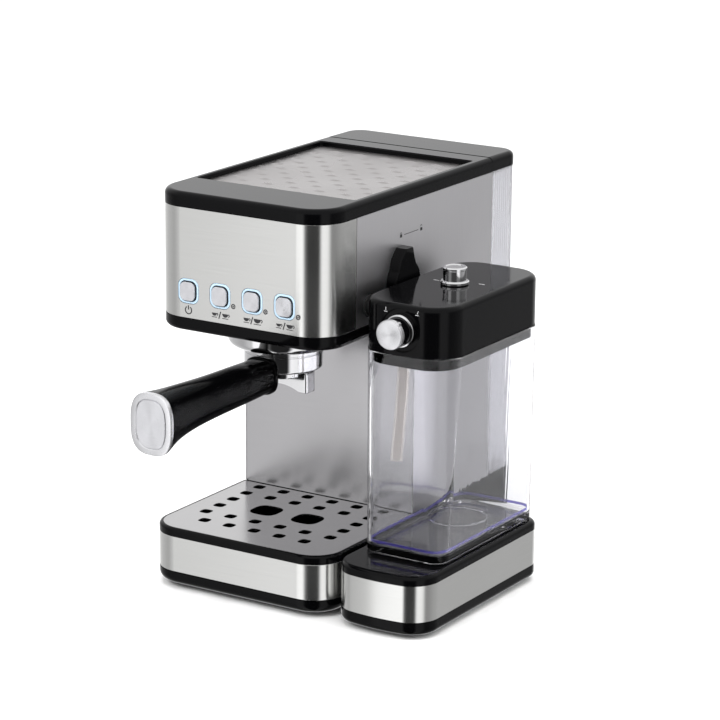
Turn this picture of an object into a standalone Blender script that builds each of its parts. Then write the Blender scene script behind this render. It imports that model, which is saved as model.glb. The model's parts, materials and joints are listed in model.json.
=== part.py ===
"""Espresso machine with a side milk tank, built as an assembly of separate pieces.

Frame: +Z up, the user stands at -Y, and +X is on the user's right. The origin is on the
resting plane, under the middle of the whole machine. Named sizes are in millimetres and
are measured from the head's left face (x), the head's front face (y) and the resting
plane (z); point() turns them into metres in the frame.
"""

import math

import bmesh
import bpy
from mathutils import Matrix, Vector

MM = 0.001
GAP = 0.3  # air between neighbouring pieces

# ---- driving dimensions ----
HEAD_W = 154.0
TANK_SEAM_Y = 238.0
REAR_Y = 281.5
TOP_Z = 306.0
FRAME_Z = 295.1
WRAP_Z = 211.8
HEAD_Z = 201.3
COLUMN_Y = 123.3
HEAD_CORNER = 26.2
WRAP_SEAM_Y = 40.8  # where the steel wrap of the head ends on its sides
REAR_CORNER = 15.0
SHEET = 0.8
EDGE = 4.5

TRAY_X0, TRAY_X1 = -2.6, 158.5
TRAY_Y = -6.3
TRAY_CORNER = 25.3
TRAY_TOP = 48.0
BASE_Z = 3.0
BAND_Z0, BAND_Z1 = 13.5, 41.2
BAND_SHEET = 0.6
GRID_TOP = 47.9
GRID_MARGIN = 2.9
GRID_REAR = 122.4
TRAY_EDGE = 2.6
FOOT_R = 8.0
PLATE_WALL = 5.0
HOUSING_WALL = 3.0
HOSE_PASSAGE = ((40, 150), (110, 215))  # where hoses go from the housing into the column
RECESS_LOW, RECESS_HIGH = (7.3, 48.9), (146.7, 219.4)  # the cup tray's recess in the top
CUP_TRAY_Z = 302.0

MILK_X0, MILK_X1 = 162.3, 241.3
MILK_Y0, MILK_Y1 = -2.0, 171.0
MILK_BULGE = 5.1
MILK_CORNER = 18.0
MILK_MID_X = 201.7

JUG_LOW = (167.6, 28.5, 235.7, 170.3)
JUG_HIGH = (163.4, 24.3, 239.9, 174.5)
JUG_Z0, JUG_Z1 = 48.3, 202.5
JUG_WALL = 2.6
JUG_FLOOR = 4.0
JUG_LOW_CORNER, JUG_HIGH_CORNER = 12.0, 25.0
LID_TOP = 240.5
SUCTION_R = 4.6

GROUP_X, GROUP_Y = 77.0, 61.4
GROUP_R = 42.0
GROUP_Z0 = 186.3
BOWL_R = 29.9
BOWL_Z0, BOWL_Z1 = 168.5, 186.0
STUB_Z, STUB_R = 173.0, 4.5  # the bowl's stub that the handle is fixed on
CAP_Y, CAP_Z = -105.5, 163.6
CAP_W, CAP_H = 36.0, 46.0
HANDLE_END_Y = -108.5

BUTTON_X, BUTTON_PITCH, BUTTON_Z = 33.5, 28.3, 232.2
BUTTON_W, BUTTON_H = 14.0, 14.6
HALO_W, HALO_H = 18.0, 18.6
BUTTONS = ("power", "espresso", "cappuccino", "latte")

LEVER_Y, LEVER_Z = 99.5, 236.0
MILK_PORT_Y, MILK_PORT_Z = 60.0, 226.0
FROTH_Z = 221.6
SPOUT_REACH, SPOUT_Z = 24.6, 151.0
TOP_KNOB_Y = 100.5
OUTLET_Y = 262.0
GLAND_X, GLAND_Z = 30.0, 27.0
GLAND_END_Y = 286.5
LID_HINGE = (REAR_Y + 0.3, 295.0)

LEFT = -(TRAY_X0 + MILK_X1) / 2
FRONT = -(HANDLE_END_Y + GLAND_END_Y) / 2

# ---- scene and collections ----
for old in list(bpy.data.objects):
    bpy.data.objects.remove(old, do_unlink=True)

parts = bpy.data.collections.new("espresso_machine")
cutters = bpy.data.collections.new("cutters")
bpy.context.scene.collection.children.link(parts)
bpy.context.scene.collection.children.link(cutters)


def point(x, y, z):
    """A place in metres, from millimetres at the head's left front corner on the floor."""
    return Vector((LEFT + x, FRONT + y, z)) * MM


# ---- materials ----
def material(name, colour, roughness, metallic=0.0, alpha=1.0):
    made = bpy.data.materials.new(name)
    made.use_nodes = True
    shader = made.node_tree.nodes["Principled BSDF"]
    shader.inputs["Base Color"].default_value = (*colour, 1.0)
    shader.inputs["Roughness"].default_value = roughness
    shader.inputs["Metallic"].default_value = metallic
    shader.inputs["Alpha"].default_value = alpha
    made.diffuse_color = (*colour, alpha)
    return made


STEEL = material("brushed_steel", (0.62, 0.62, 0.61), 0.32, 1.0)
CHROME = material("chrome", (0.85, 0.85, 0.86), 0.08, 1.0)
CAST = material("cast_aluminium", (0.55, 0.56, 0.57), 0.5, 1.0)
BLACK = material("gloss_black", (0.012, 0.012, 0.014), 0.12)
MATT = material("matt_black", (0.03, 0.03, 0.032), 0.6)
CLEAR = material("clear_plastic", (0.92, 0.93, 0.95), 0.05, 0.0, 0.3)
SILVER = material("silver_cap", (0.8, 0.8, 0.81), 0.3, 1.0)
RUBBER = material("rubber", (0.04, 0.04, 0.04), 0.8)
TUBE = material("silicone_tube", (0.78, 0.72, 0.62), 0.4)
BOARD = material("circuit_board", (0.05, 0.2, 0.1), 0.5)
GLOW = material("light_guide", (0.6, 0.78, 0.95), 0.3)
PLASTIC = material("pump_plastic", (0.35, 0.35, 0.33), 0.5)


# ---- building blocks ----
def own_material(name, source):
    """A copy of a shared finish, so that each piece has its own."""
    made = source.copy()
    made.name = name + "_finish"
    return made


def add_object(name, bm, origin, finish=None, smooth=35.0):
    """Links a bmesh in metres, whose zero is at origin in millimetres. No finish: a cutter."""
    bmesh.ops.recalc_face_normals(bm, faces=bm.faces)
    mesh = bpy.data.meshes.new(name)
    bm.to_mesh(mesh)
    bm.free()
    mesh.shade_smooth()
    mesh.set_sharp_from_angle(angle=math.radians(smooth))
    made = bpy.data.objects.new(name, mesh)
    made.location = point(*origin)
    if finish is None:
        made.display_type = "WIRE"
        made.hide_render = True
        cutters.objects.link(made)
    else:
        mesh.materials.append(own_material(name, finish))
        parts.objects.link(made)
    return made


def block(name, low, high, finish=None, corners=None, rims=None, segments=4):
    """A box between two corners. corners rounds the upright edges, in the order front
    left, front right, rear right, rear left; rims rounds the outlines at top and bottom."""
    low, high = Vector(low), Vector(high)
    centre = (low + high) / 2
    size = (high - low) * MM
    bm = bmesh.new()
    bmesh.ops.create_cube(bm, size=1.0)
    bmesh.ops.scale(bm, vec=size, verts=bm.verts)
    if corners:
        signs = ((-1, -1), (1, -1), (1, 1), (-1, 1))
        for radius, (sx, sy) in zip(corners, signs):
            if radius <= 0:
                continue
            at_corner = [
                edge
                for edge in bm.edges
                if all(abs(v.co.x - sx * size.x / 2) < 1e-7 for v in edge.verts)
                and all(abs(v.co.y - sy * size.y / 2) < 1e-7 for v in edge.verts)
            ]
            bmesh.ops.bevel(
                bm,
                geom=at_corner,
                offset=radius * MM,
                segments=segments,
                profile=0.5,
                affect="EDGES",
            )
    for radius, side in zip(rims or (), (1, -1)):
        if radius <= 0:
            continue
        level = side * size.z / 2
        outline = [e for e in bm.edges if all(abs(v.co.z - level) < 1e-7 for v in e.verts)]
        bmesh.ops.bevel(
            bm, geom=outline, offset=radius * MM, segments=2, profile=0.5, affect="EDGES"
        )
    return add_object(name, bm, centre, finish)


def cylinder(name, centre, radius, length, finish=None, axis="Z", sides=24, rims=(0, 0)):
    """A cylinder about an axis through its centre; rims rounds its + and - ends."""
    bm = bmesh.new()
    bmesh.ops.create_cone(
        bm,
        cap_ends=True,
        segments=sides,
        radius1=radius * MM,
        radius2=radius * MM,
        depth=length * MM,
    )
    for rounding, side in zip(rims, (1, -1)):
        if rounding <= 0:
            continue
        level = side * length * MM / 2
        rim = [e for e in bm.edges if all(abs(v.co.z - level) < 1e-7 for v in e.verts)]
        bmesh.ops.bevel(
            bm, geom=rim, offset=rounding * MM, segments=2, profile=0.5, affect="EDGES"
        )
    turn = {"Z": Matrix(), "X": Matrix.Rotation(math.pi / 2, 4, "Y")}
    turn["Y"] = Matrix.Rotation(-math.pi / 2, 4, "X")
    bmesh.ops.transform(bm, matrix=turn[axis], verts=bm.verts)
    return add_object(name, bm, centre, finish)


def span(name, axis, low, high, at, radius, finish=None, sides=24, rims=(0, 0)):
    """A cylinder that runs along an axis from low to high, at the two other coordinates."""
    centre = list(at)
    centre.insert("XYZ".index(axis), (low + high) / 2)
    return cylinder(name, centre, radius, high - low, finish, axis, sides, rims)


def loft(name, sections, finish=None, smooth=35.0):
    """A solid through closed sections with equal point counts, each a list of points."""
    origin = Vector(sections[0][0])
    bm = bmesh.new()
    rings = [[bm.verts.new((Vector(p) - origin) * MM) for p in ring] for ring in sections]
    for lower, upper in zip(rings, rings[1:]):
        for i in range(len(lower)):
            j = (i + 1) % len(lower)
            bm.faces.new((lower[i], lower[j], upper[j], upper[i]))
    bm.faces.new(rings[0])
    bm.faces.new(rings[-1])
    return add_object(name, bm, origin, finish, smooth)


def rounded_outline(x0, y0, x1, y1, radii, z, steps=4, bulge=0.0, front_steps=1):
    """Points round a rectangle with a front and a rear corner radius; bulge curves the
    front edge outwards."""
    front, rear = radii
    corners = (
        (x0 + front, y0 + front, front, 180),
        (x1 - front, y0 + front, front, 270),
        (x1 - rear, y1 - rear, rear, 0),
        (x0 + rear, y1 - rear, rear, 90),
    )
    points = []
    for cx, cy, radius, start in corners:
        if start == 270:
            left_x = x0 + front
            run = x1 - front - left_x
            points += [(left_x + run * i / front_steps, y0) for i in range(1, front_steps)]
        for i in range(steps + 1):
            angle = math.radians(start + 90 * i / steps)
            points.append((cx + radius * math.cos(angle), cy + radius * math.sin(angle)))
    middle, half = (x0 + x1) / 2, (x1 - x0) / 2
    bent = []
    for x, y in points:
        share = 1 - ((x - middle) / half) ** 2
        if y < y0 + front + 1e-6:
            y -= bulge * share
        bent.append((x, y, z))
    return bent


def tool(target, other, operation="DIFFERENCE"):
    """Cuts target with, or joins it to, a hidden guide."""
    step = target.modifiers.new(f"{operation.lower()}_{len(target.modifiers)}", "BOOLEAN")
    step.operation = operation
    step.object = other
    return target


def cut(target, *others):
    for other in others:
        tool(target, other)
    return target


def join(target, *others):
    for other in others:
        tool(target, other, "UNION")
    return target


def hose(name, route, radius, finish):
    """A tube of round section along a smooth route of hand-placed points."""
    curve = bpy.data.curves.new(name, "CURVE")
    curve.dimensions = "3D"
    curve.bevel_depth = radius * MM
    curve.bevel_resolution = 1
    curve.use_fill_caps = True
    smooth = smooth_route(route, 4)
    spline = curve.splines.new("POLY")
    spline.points.add(len(smooth) - 1)
    for control, place in zip(spline.points, smooth):
        control.co = (*point(*place), 1.0)
    made = bpy.data.objects.new(name, curve)
    curve.materials.append(own_material(name, finish))
    parts.objects.link(made)
    return made


def smooth_route(route, steps):
    """Catmull-Rom points through a route."""
    knots = [Vector(p) for p in route]
    knots = [2 * knots[0] - knots[1], *knots, 2 * knots[-1] - knots[-2]]
    out = []
    for a, b, c, d in zip(knots, knots[1:], knots[2:], knots[3:]):
        for i in range(steps):
            t = i / steps
            bend = 2 * b + (c - a) * t + (2 * a - 5 * b + 4 * c - d) * t * t
            out.append((bend + (3 * b - a - 3 * c + d) * t**3) / 2)
    out.append(knots[-2])
    return out


# ---- base ----
def make_base():
    """Base plate under the whole machine, hollow from below, and the housing behind the tray."""
    plate = block(
        "base_plate",
        (TRAY_X0, TRAY_Y, BASE_Z),
        (TRAY_X1, COLUMN_Y + 1, BAND_Z0 - GAP),
        BLACK,
        (TRAY_CORNER, TRAY_CORNER, 0, 0),
        (0, EDGE),
    )
    rear = block(
        "base_plate_rear",
        (0, COLUMN_Y - 5, BASE_Z),
        (HEAD_W, REAR_Y - GAP, BAND_Z0 - GAP),
        None,
        (0, 0, REAR_CORNER, REAR_CORNER),
        (0, EDGE),
    )
    join(plate, rear)
    deck = BAND_Z0 - GAP - 3
    wall = PLATE_WALL
    corner = TRAY_CORNER - wall
    front_hollow = block(
        "base_plate_front_hollow",
        (TRAY_X0 + wall, TRAY_Y + wall, 0),
        (TRAY_X1 - wall, COLUMN_Y - 4, deck),
        None,
        (corner, corner, 0, 0),
    )
    rear_hollow = block(
        "base_plate_rear_hollow",
        (wall, COLUMN_Y, 0),
        (HEAD_W - wall, REAR_Y - wall, deck),
        None,
        (0, 0, REAR_CORNER - wall, REAR_CORNER - wall),
    )
    cut(plate, front_hollow, rear_hollow)

    housing = block(
        "base_housing",
        (0, COLUMN_Y + 1.3, BAND_Z0),
        (HEAD_W, REAR_Y - GAP, TRAY_TOP),
        BLACK,
        (0, 0, REAR_CORNER, REAR_CORNER),
    )
    hollow = block(
        "base_housing_hollow",
        (HOUSING_WALL, COLUMN_Y + 1.3 + HOUSING_WALL, 0),
        (HEAD_W - HOUSING_WALL, REAR_Y - HOUSING_WALL, TRAY_TOP - HOUSING_WALL),
        None,
        (0, 0, REAR_CORNER - HOUSING_WALL, REAR_CORNER - HOUSING_WALL),
    )
    passage = block("base_hose_passage", (*HOSE_PASSAGE[0], 40), (*HOSE_PASSAGE[1], 60))
    seat_hole = span("base_seat_hole", "Z", 40, 60, (GROUP_X, OUTLET_Y), 9, sides=24)
    gland_hole = span("base_gland_hole", "Y", 270, 290, (GLAND_X, GLAND_Z), 5.4, sides=24)
    cut(housing, hollow, passage, seat_hole, gland_hole)

    feet = {
        "foot_front_left": (22, 20),
        "foot_front_right": (134, 20),
        "foot_rear_left": (20, 260),
        "foot_rear_right": (134, 260),
    }
    for name, (x, y) in feet.items():
        span(name, "Z", 0, deck - GAP, (x, y), FOOT_R, RUBBER, sides=12, rims=(0, 1))

    gland = span(
        "cord_gland", "Y", REAR_Y, GLAND_END_Y, (GLAND_X, GLAND_Z), 7, MATT, 24, (1.2, 0)
    )
    shank = span("gland_shank", "Y", 274, REAR_Y + 1, (GLAND_X, GLAND_Z), 5, sides=24)
    bore = span("gland_bore", "Y", 270, 290, (GLAND_X, GLAND_Z), 3.2, sides=16)
    join(gland, shank)
    cut(gland, bore)

    seat = span("tank_seat", "Z", 42, TRAY_TOP + GAP, (GROUP_X, OUTLET_Y), 8.6, RUBBER, 24)
    cut(seat, span("seat_bore", "Z", 40, 60, (GROUP_X, OUTLET_Y), 5.4, sides=16))


# ---- column and head ----
def side_panel(name, x):
    """A steel sheet that covers the side of the head and, below it, of the column."""
    low = (x, WRAP_SEAM_Y + GAP, TRAY_TOP + GAP)
    panel = block(name, low, (x + SHEET, TANK_SEAM_Y - GAP, FRAME_Z - GAP), STEEL)
    under_head = block(name + "_under_head", (x - 5, 30, 0), (x + 5, COLUMN_Y, WRAP_Z))
    return cut(panel, under_head)


def make_column():
    side_panel("side_panel_left", 0)
    right = side_panel("side_panel_right", HEAD_W - SHEET)
    lever_hole = span("lever_hole", "X", 145, 160, (LEVER_Y, LEVER_Z), 4.3, sides=16)
    port_hole = span("port_hole", "X", 145, 160, (MILK_PORT_Y, MILK_PORT_Z), 8.8, sides=24)
    cut(right, lever_hole, port_hole)

    block(
        "column_front_panel",
        (SHEET + GAP, COLUMN_Y, TRAY_TOP + GAP),
        (HEAD_W - SHEET - GAP, COLUMN_Y + SHEET, HEAD_Z - GAP),
        STEEL,
    )

    frame = block(
        "inner_frame",
        (SHEET + GAP, COLUMN_Y + SHEET + GAP, TRAY_TOP + GAP),
        (HEAD_W - SHEET - GAP, TANK_SEAM_Y - 1.5, FRAME_Z - GAP),
        MATT,
    )
    hollow = block(
        "inner_frame_hollow", (4, COLUMN_Y - 5, TRAY_TOP + 3.3), (HEAD_W - 4, 233.5, 310)
    )
    passage = block("frame_hose_passage", (*HOSE_PASSAGE[0], 40), (*HOSE_PASSAGE[1], 60))
    cut(frame, hollow, passage)


def make_head():
    floor = block(
        "head_floor",
        (0, 0, HEAD_Z),
        (HEAD_W, COLUMN_Y - GAP, WRAP_Z - GAP),
        BLACK,
        (HEAD_CORNER, HEAD_CORNER, 0, 0),
        (0, EDGE),
    )
    wall = 2.4
    inside = HEAD_CORNER - wall
    hollow = block(
        "head_floor_hollow",
        (wall, wall, HEAD_Z + 2.7),
        (HEAD_W - wall, COLUMN_Y + 5, WRAP_Z + 5),
        None,
        (inside, inside, 0, 0),
    )
    bore = span("head_floor_bore", "Z", 195, 220, (GROUP_X, GROUP_Y), 21, sides=24)
    cut(floor, hollow, bore)

    wrap = block(
        "head_front_panel",
        (0, 0, WRAP_Z),
        (HEAD_W, 60, FRAME_Z - GAP),
        STEEL,
        (HEAD_CORNER, HEAD_CORNER, 0, 0),
        segments=7,
    )
    inside = HEAD_CORNER - SHEET
    inner = block(
        "head_panel_inner",
        (SHEET, SHEET, WRAP_Z - 5),
        (HEAD_W - SHEET, 70, FRAME_Z + 5),
        None,
        (inside, inside, 0, 0),
        segments=7,
    )
    behind = block("head_panel_behind", (-5, WRAP_SEAM_Y, 200), (HEAD_W + 5, 70, 310))
    cut(wrap, inner, behind)

    skin = SHEET + GAP
    liner_in = 3.2
    liner = block(
        "head_liner",
        (skin, skin, WRAP_Z + GAP),
        (HEAD_W - skin, COLUMN_Y + 0.5, FRAME_Z - GAP),
        MATT,
        (HEAD_CORNER - skin, HEAD_CORNER - skin, 0, 0),
    )
    liner_hollow = block(
        "head_liner_hollow",
        (liner_in, liner_in, WRAP_Z - 5),
        (HEAD_W - liner_in, COLUMN_Y + 5, FRAME_Z + 5),
        None,
        (HEAD_CORNER - liner_in, HEAD_CORNER - liner_in, 0, 0),
    )
    liner_port = span("liner_port", "X", 140, 160, (MILK_PORT_Y, MILK_PORT_Z), 9.5, sides=16)
    liner_lever = span("liner_lever", "X", 140, 160, (LEVER_Y, LEVER_Z), 5.5, sides=16)
    cut(liner, liner_hollow, liner_port, liner_lever)

    for i, use in enumerate(BUTTONS):
        x = BUTTON_X + BUTTON_PITCH * i
        half_w, half_h = HALO_W / 2 + GAP, HALO_H / 2 + GAP
        window = block(
            f"window_{use}",
            (x - half_w, BUTTON_Z - half_h, -5),
            (x + half_w, BUTTON_Z + half_h, 5),
            None,
            (6, 6, 6, 6),
            segments=2,
        )
        stand_up(window)
        cut(wrap, window)
        opening = (x - half_w, 0, BUTTON_Z - half_h), (x + half_w, 5, BUTTON_Z + half_h)
        cut(liner, block(f"liner_window_{use}", *opening))

    frame = block(
        "top_frame",
        (0, 0, FRAME_Z),
        (HEAD_W, TANK_SEAM_Y - GAP, TOP_Z),
        BLACK,
        (HEAD_CORNER, HEAD_CORNER, 0, 0),
        (EDGE, 0),
    )
    recess = block("frame_recess", (*RECESS_LOW, CUP_TRAY_Z - GAP), (*RECESS_HIGH, TOP_Z + 10))
    rim = 3.0
    underside = block(
        "frame_underside",
        (rim, rim, FRAME_Z - 5),
        (HEAD_W - rim, TANK_SEAM_Y - GAP - rim, CUP_TRAY_Z - GAP - 2.5),
        None,
        (HEAD_CORNER - rim, HEAD_CORNER - rim, 0, 0),
    )
    cut(frame, recess, underside)
    low = [value + GAP for value in RECESS_LOW]
    high = [value - GAP for value in RECESS_HIGH]
    block("cup_tray", (*low, CUP_TRAY_Z), (*high, CUP_TRAY_Z + SHEET), STEEL)


def stand_up(piece):
    """Turns a block drawn with its outline in x and z-as-y so that its depth runs along Y."""
    centre = piece.location / MM
    x, z, depth = centre.x - LEFT, centre.y - FRONT, centre.z
    piece.data.transform(Matrix.Rotation(math.pi / 2, 4, "X"))
    piece.location = point(x, -depth, z)


# ---- controls ----
def upright_plate(name, x, z, width, height, y0, y1, finish=None, corner=4.0):
    """A plate with rounded corners that faces the user, from y0 to y1."""
    piece = block(
        name,
        (x - width / 2, z - height / 2, -y1),
        (x + width / 2, z + height / 2, -y0),
        finish,
        (corner, corner, corner, corner),
        segments=2,
    )
    stand_up(piece)
    return piece


def make_controls():
    middle = BUTTON_X + BUTTON_PITCH * (len(BUTTONS) - 1) / 2
    guide = upright_plate("light_guide", middle, BUTTON_Z, 99, 22, 3.6, 5.4, GLOW)
    for i, use in enumerate(BUTTONS):
        x = BUTTON_X + BUTTON_PITCH * i
        ring = upright_plate(f"halo_{use}", x, BUTTON_Z, HALO_W, HALO_H, -0.2, 4.0, None, 5.5)
        join(guide, ring)
    for i, use in enumerate(BUTTONS):
        x = BUTTON_X + BUTTON_PITCH * i
        well = upright_plate(
            f"well_{use}", x, BUTTON_Z, BUTTON_W + 2 * GAP, BUTTON_H + 2 * GAP, -5, 9, None, 4.3
        )
        cut(guide, well)
        upright_plate(f"button_{use}", x, BUTTON_Z, BUTTON_W, BUTTON_H, -1.7, 5.4, SILVER, 4.0)
    upright_plate("control_board", HEAD_W / 2, BUTTON_Z, 124, 30, 7.4, 9.0, BOARD, 2.0)


def make_lever():
    """Lock lever: a hub that turns on a shaft in the side panel, with a broad pointer."""
    inner, outer = HEAD_W + GAP, 163.2
    around = ((inner, -1), (outer, -1), (outer, 1), (inner, 1))
    lever = span("lock_lever", "X", inner, outer, (LEVER_Y, LEVER_Z), 17.5, BLACK, 24, (1.5, 0))
    # (above the hub's axis, reach to the front, reach to the rear)
    pointer_curve = ((0.0, 17.0, 17.0), (18.5, 11.5, 8.8), (26.5, 4.2, 6.4))
    pointer = loft(
        "lever_pointer",
        [
            [(x, LEVER_Y + (rear if side > 0 else -front), LEVER_Z + rise) for x, side in around]
            for rise, front, rear in pointer_curve
        ],
    )
    shaft = span("lever_shaft", "X", 147, inner + 1, (LEVER_Y, LEVER_Z), 3.9, sides=16)
    join(lever, pointer, shaft)

    span("milk_port", "X", 147, HEAD_W + GAP, (MILK_PORT_Y, MILK_PORT_Z), 8.4, RUBBER, 24)
    cut(
        bpy.data.objects["milk_port"],
        span("port_bore", "X", 140, 160, (MILK_PORT_Y, MILK_PORT_Z), 3.5, sides=16),
    )


# ---- brewing ----
def make_group():
    at = (GROUP_X, GROUP_Y)
    head = span("group_head", "Z", GROUP_Z0, HEAD_Z - GAP, at, GROUP_R, CHROME, 32, (0, 5.5))
    mouth = span("group_mouth", "Z", GROUP_Z0 - 5, HEAD_Z - 1.4, at, 27.3, sides=24)
    groove = span("group_groove", "Z", GROUP_Z0 + 2.3, GROUP_Z0 + 7.9, at, 30.8, sides=24)
    outlet = span("group_outlet", "Z", GROUP_Z0 + 2, HEAD_Z + 5, at, 19, sides=24)
    entries = block("group_entries", (-31, -9.6, -1), (31, 9.6, 10))
    entries.location = point(GROUP_X, GROUP_Y, GROUP_Z0 + 1.3)
    entries.rotation_euler.z = math.radians(-45)
    cut(head, mouth, groove, outlet, entries)

    gasket = span("group_gasket", "Z", HEAD_Z - 6.2, HEAD_Z - 1.7, at, 26.9, RUBBER, 24)
    cut(gasket, span("gasket_bore", "Z", HEAD_Z - 10, HEAD_Z + 5, at, 23.6, sides=24))
    screen = span("shower_screen", "Z", HEAD_Z - 5.1, HEAD_Z - 4.1, at, 23.2, STEEL, 24)
    cut(screen, span("screen_hole", "Z", HEAD_Z - 10, HEAD_Z + 5, at, 2.3, sides=16))
    screw = span("screen_screw", "Z", HEAD_Z - 6.7, HEAD_Z - 5.4, at, 3.8, STEEL, 16)
    join(screw, span("screen_screw_shank", "Z", HEAD_Z - 5.7, HEAD_Z - 0.5, at, 1.9, sides=12))

    boiler = block("boiler", (44, 28, 208), (110, 95, 252), CAST, (8, 8, 8, 8), segments=3)
    join(boiler, span("boiler_outlet", "Z", HEAD_Z, 210, at, 18.0, sides=24))
    for i in range(5):
        x = 52 + 11 * i
        cut(boiler, block(f"boiler_slot_{i}", (x, 20, 240), (x + 4, 100, 260)))


def make_portafilter():
    at = (GROUP_X, GROUP_Y)
    bowl = span("portafilter_bowl", "Z", BOWL_Z0, BOWL_Z1, at, BOWL_R, CHROME, 32, (0.8, 1.2))
    neck = span("bowl_neck", "Z", BOWL_Z1 - 2, BOWL_Z1 + 7.8, at, 26.8, sides=24)
    reach, half_width = 29.2, 8.0
    ears = block(
        "bowl_ears",
        (GROUP_X - reach, GROUP_Y - half_width, BOWL_Z1 + 3),
        (GROUP_X + reach, GROUP_Y + half_width, BOWL_Z1 + 6),
    )
    stub = span("bowl_stub", "Y", 8, GROUP_Y - 26, (GROUP_X, STUB_Z), STUB_R, sides=16)
    join(bowl, neck, ears, stub)
    inside = span("bowl_inside", "Z", 171.5, 200, at, 25.3, sides=24)
    drain = span("bowl_drain", "Z", 160, 180, at, 4, sides=16)
    cut(bowl, inside, drain)

    rim_z = BOWL_Z1 + 8.7
    basket = span("filter_basket", "Z", 174, rim_z, at, 24.9, STEEL, 24, (0, 2))
    rim = span("basket_rim", "Z", rim_z - 0.6, rim_z, at, 26.3, sides=24)
    hollow = span("basket_hollow", "Z", 174.7, 210, at, 24.2, sides=24)
    join(basket, rim)
    cut(basket, hollow)

    half_depth = 6.2
    channel_x, channel_r = 21.6, 2.2
    arch_r, arch_drop = 39.0, 34.3  # the arch's centre is this far under the mouths
    spout = block(
        "portafilter_spout",
        (GROUP_X - SPOUT_REACH, GROUP_Y - half_depth, SPOUT_Z),
        (GROUP_X + SPOUT_REACH, GROUP_Y + half_depth, BOWL_Z0 - GAP),
        CHROME,
        (1.5, 1.5, 1.5, 1.5),
        segments=2,
    )
    hub = span("spout_hub", "Z", SPOUT_Z + 10.4, BOWL_Z0 - GAP, at, 18, sides=24)
    arch = span("spout_arch", "Y", 40, 80, (GROUP_X, SPOUT_Z - arch_drop), arch_r, sides=48)
    join(spout, hub)
    cut(spout, arch)
    for side in (-1, 1):
        at_channel = (GROUP_X + side * channel_x, GROUP_Y)
        cut(spout, span(f"spout_channel_{side + 1}", "Z", 145, 160, at_channel, channel_r, sides=16))
    cut(spout, span("spout_inlet", "Z", 163, 175, at, 4, sides=16))

    make_handle()


def oval(y, width, height, z_middle, power=2.8, count=16):
    """A rounded-rectangle section of the handle at a distance y from the head's front."""
    points = []
    for i in range(count):
        angle = 2 * math.pi * i / count
        c, s = math.cos(angle), math.sin(angle)
        x = GROUP_X + width / 2 * math.copysign(abs(c) ** (2 / power), c)
        z = z_middle + height / 2 * math.copysign(abs(s) ** (2 / power), s)
        points.append((x, y, z))
    return points


def make_handle():
    """Handle along -Y: slim near the bowl, flared at its end, where a metal cap closes it."""
    stations = (  # (distance from the head's front, width, height, middle)
        (35.0, 26.0, 25.8, 167.2),
        (28.0, 26.0, 26.2, 167.2),
        (5.0, 25.6, 28.2, 167.0),
        (-35.0, 25.6, 30.6, 166.9),
        (-65.0, 26.8, 34.0, 166.7),
        (-88.0, 30.2, 38.8, 165.6),
        (CAP_Y + GAP, CAP_W, CAP_H, CAP_Z),
    )
    sections = [oval(y, width, height, middle) for y, width, height, middle in stations]
    handle = loft("portafilter_handle", sections, BLACK)
    around_bowl = span("handle_saddle", "Z", 140, 200, (GROUP_X, GROUP_Y), BOWL_R + GAP, sides=24)
    stub_bore = span("handle_bore", "Y", 6, 60, (GROUP_X, STUB_Z), STUB_R + GAP, sides=16)
    cut(handle, around_bowl, stub_bore)
    cap_curve = ((CAP_Y, 0.0), (HANDLE_END_Y + 1, 0.0), (HANDLE_END_Y, 2.4))  # (place, shrink)
    cap = [oval(y, CAP_W - shrink, CAP_H - shrink, CAP_Z) for y, shrink in cap_curve]
    loft("handle_cap", cap, SILVER)


def make_water_works():
    """Pump, valve, board and hoses inside the column."""
    pump = span("pump", "Z", 64, 136, (58, 182), 19, PLASTIC, 24, (2, 2))
    core = block("pump_core", (33, 172, 82), (83, 192, 118))
    join(pump, core)
    valve = block("solenoid_valve", (98, 168, 70), (122, 192, 112), PLASTIC, (2, 2, 2, 2), segments=2)
    join(valve, span("valve_stem", "Z", 110, 124, (110, 180), 6, sides=16))
    block("main_board", (140, 140, 80), (141.6, 225, 200), BOARD)
    hose(
        "inlet_hose",
        [(77, 262, 41), (77, 254, 30), (72, 232, 26), (64, 208, 28), (58, 190, 40), (58, 182, 63)],
        3.0,
        TUBE,
    )
    hose(
        "pressure_hose",
        [(58, 182, 137), (58, 181, 160), (60, 165, 200), (64, 130, 228), (66, 96.2, 232)],
        2.2,
        TUBE,
    )
    hose(
        "steam_hose",
        [(111, 60, 234), (122, 60, 236), (134, 60, 228), (146.2, 60, MILK_PORT_Z)],
        2.2,
        TUBE,
    )


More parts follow.
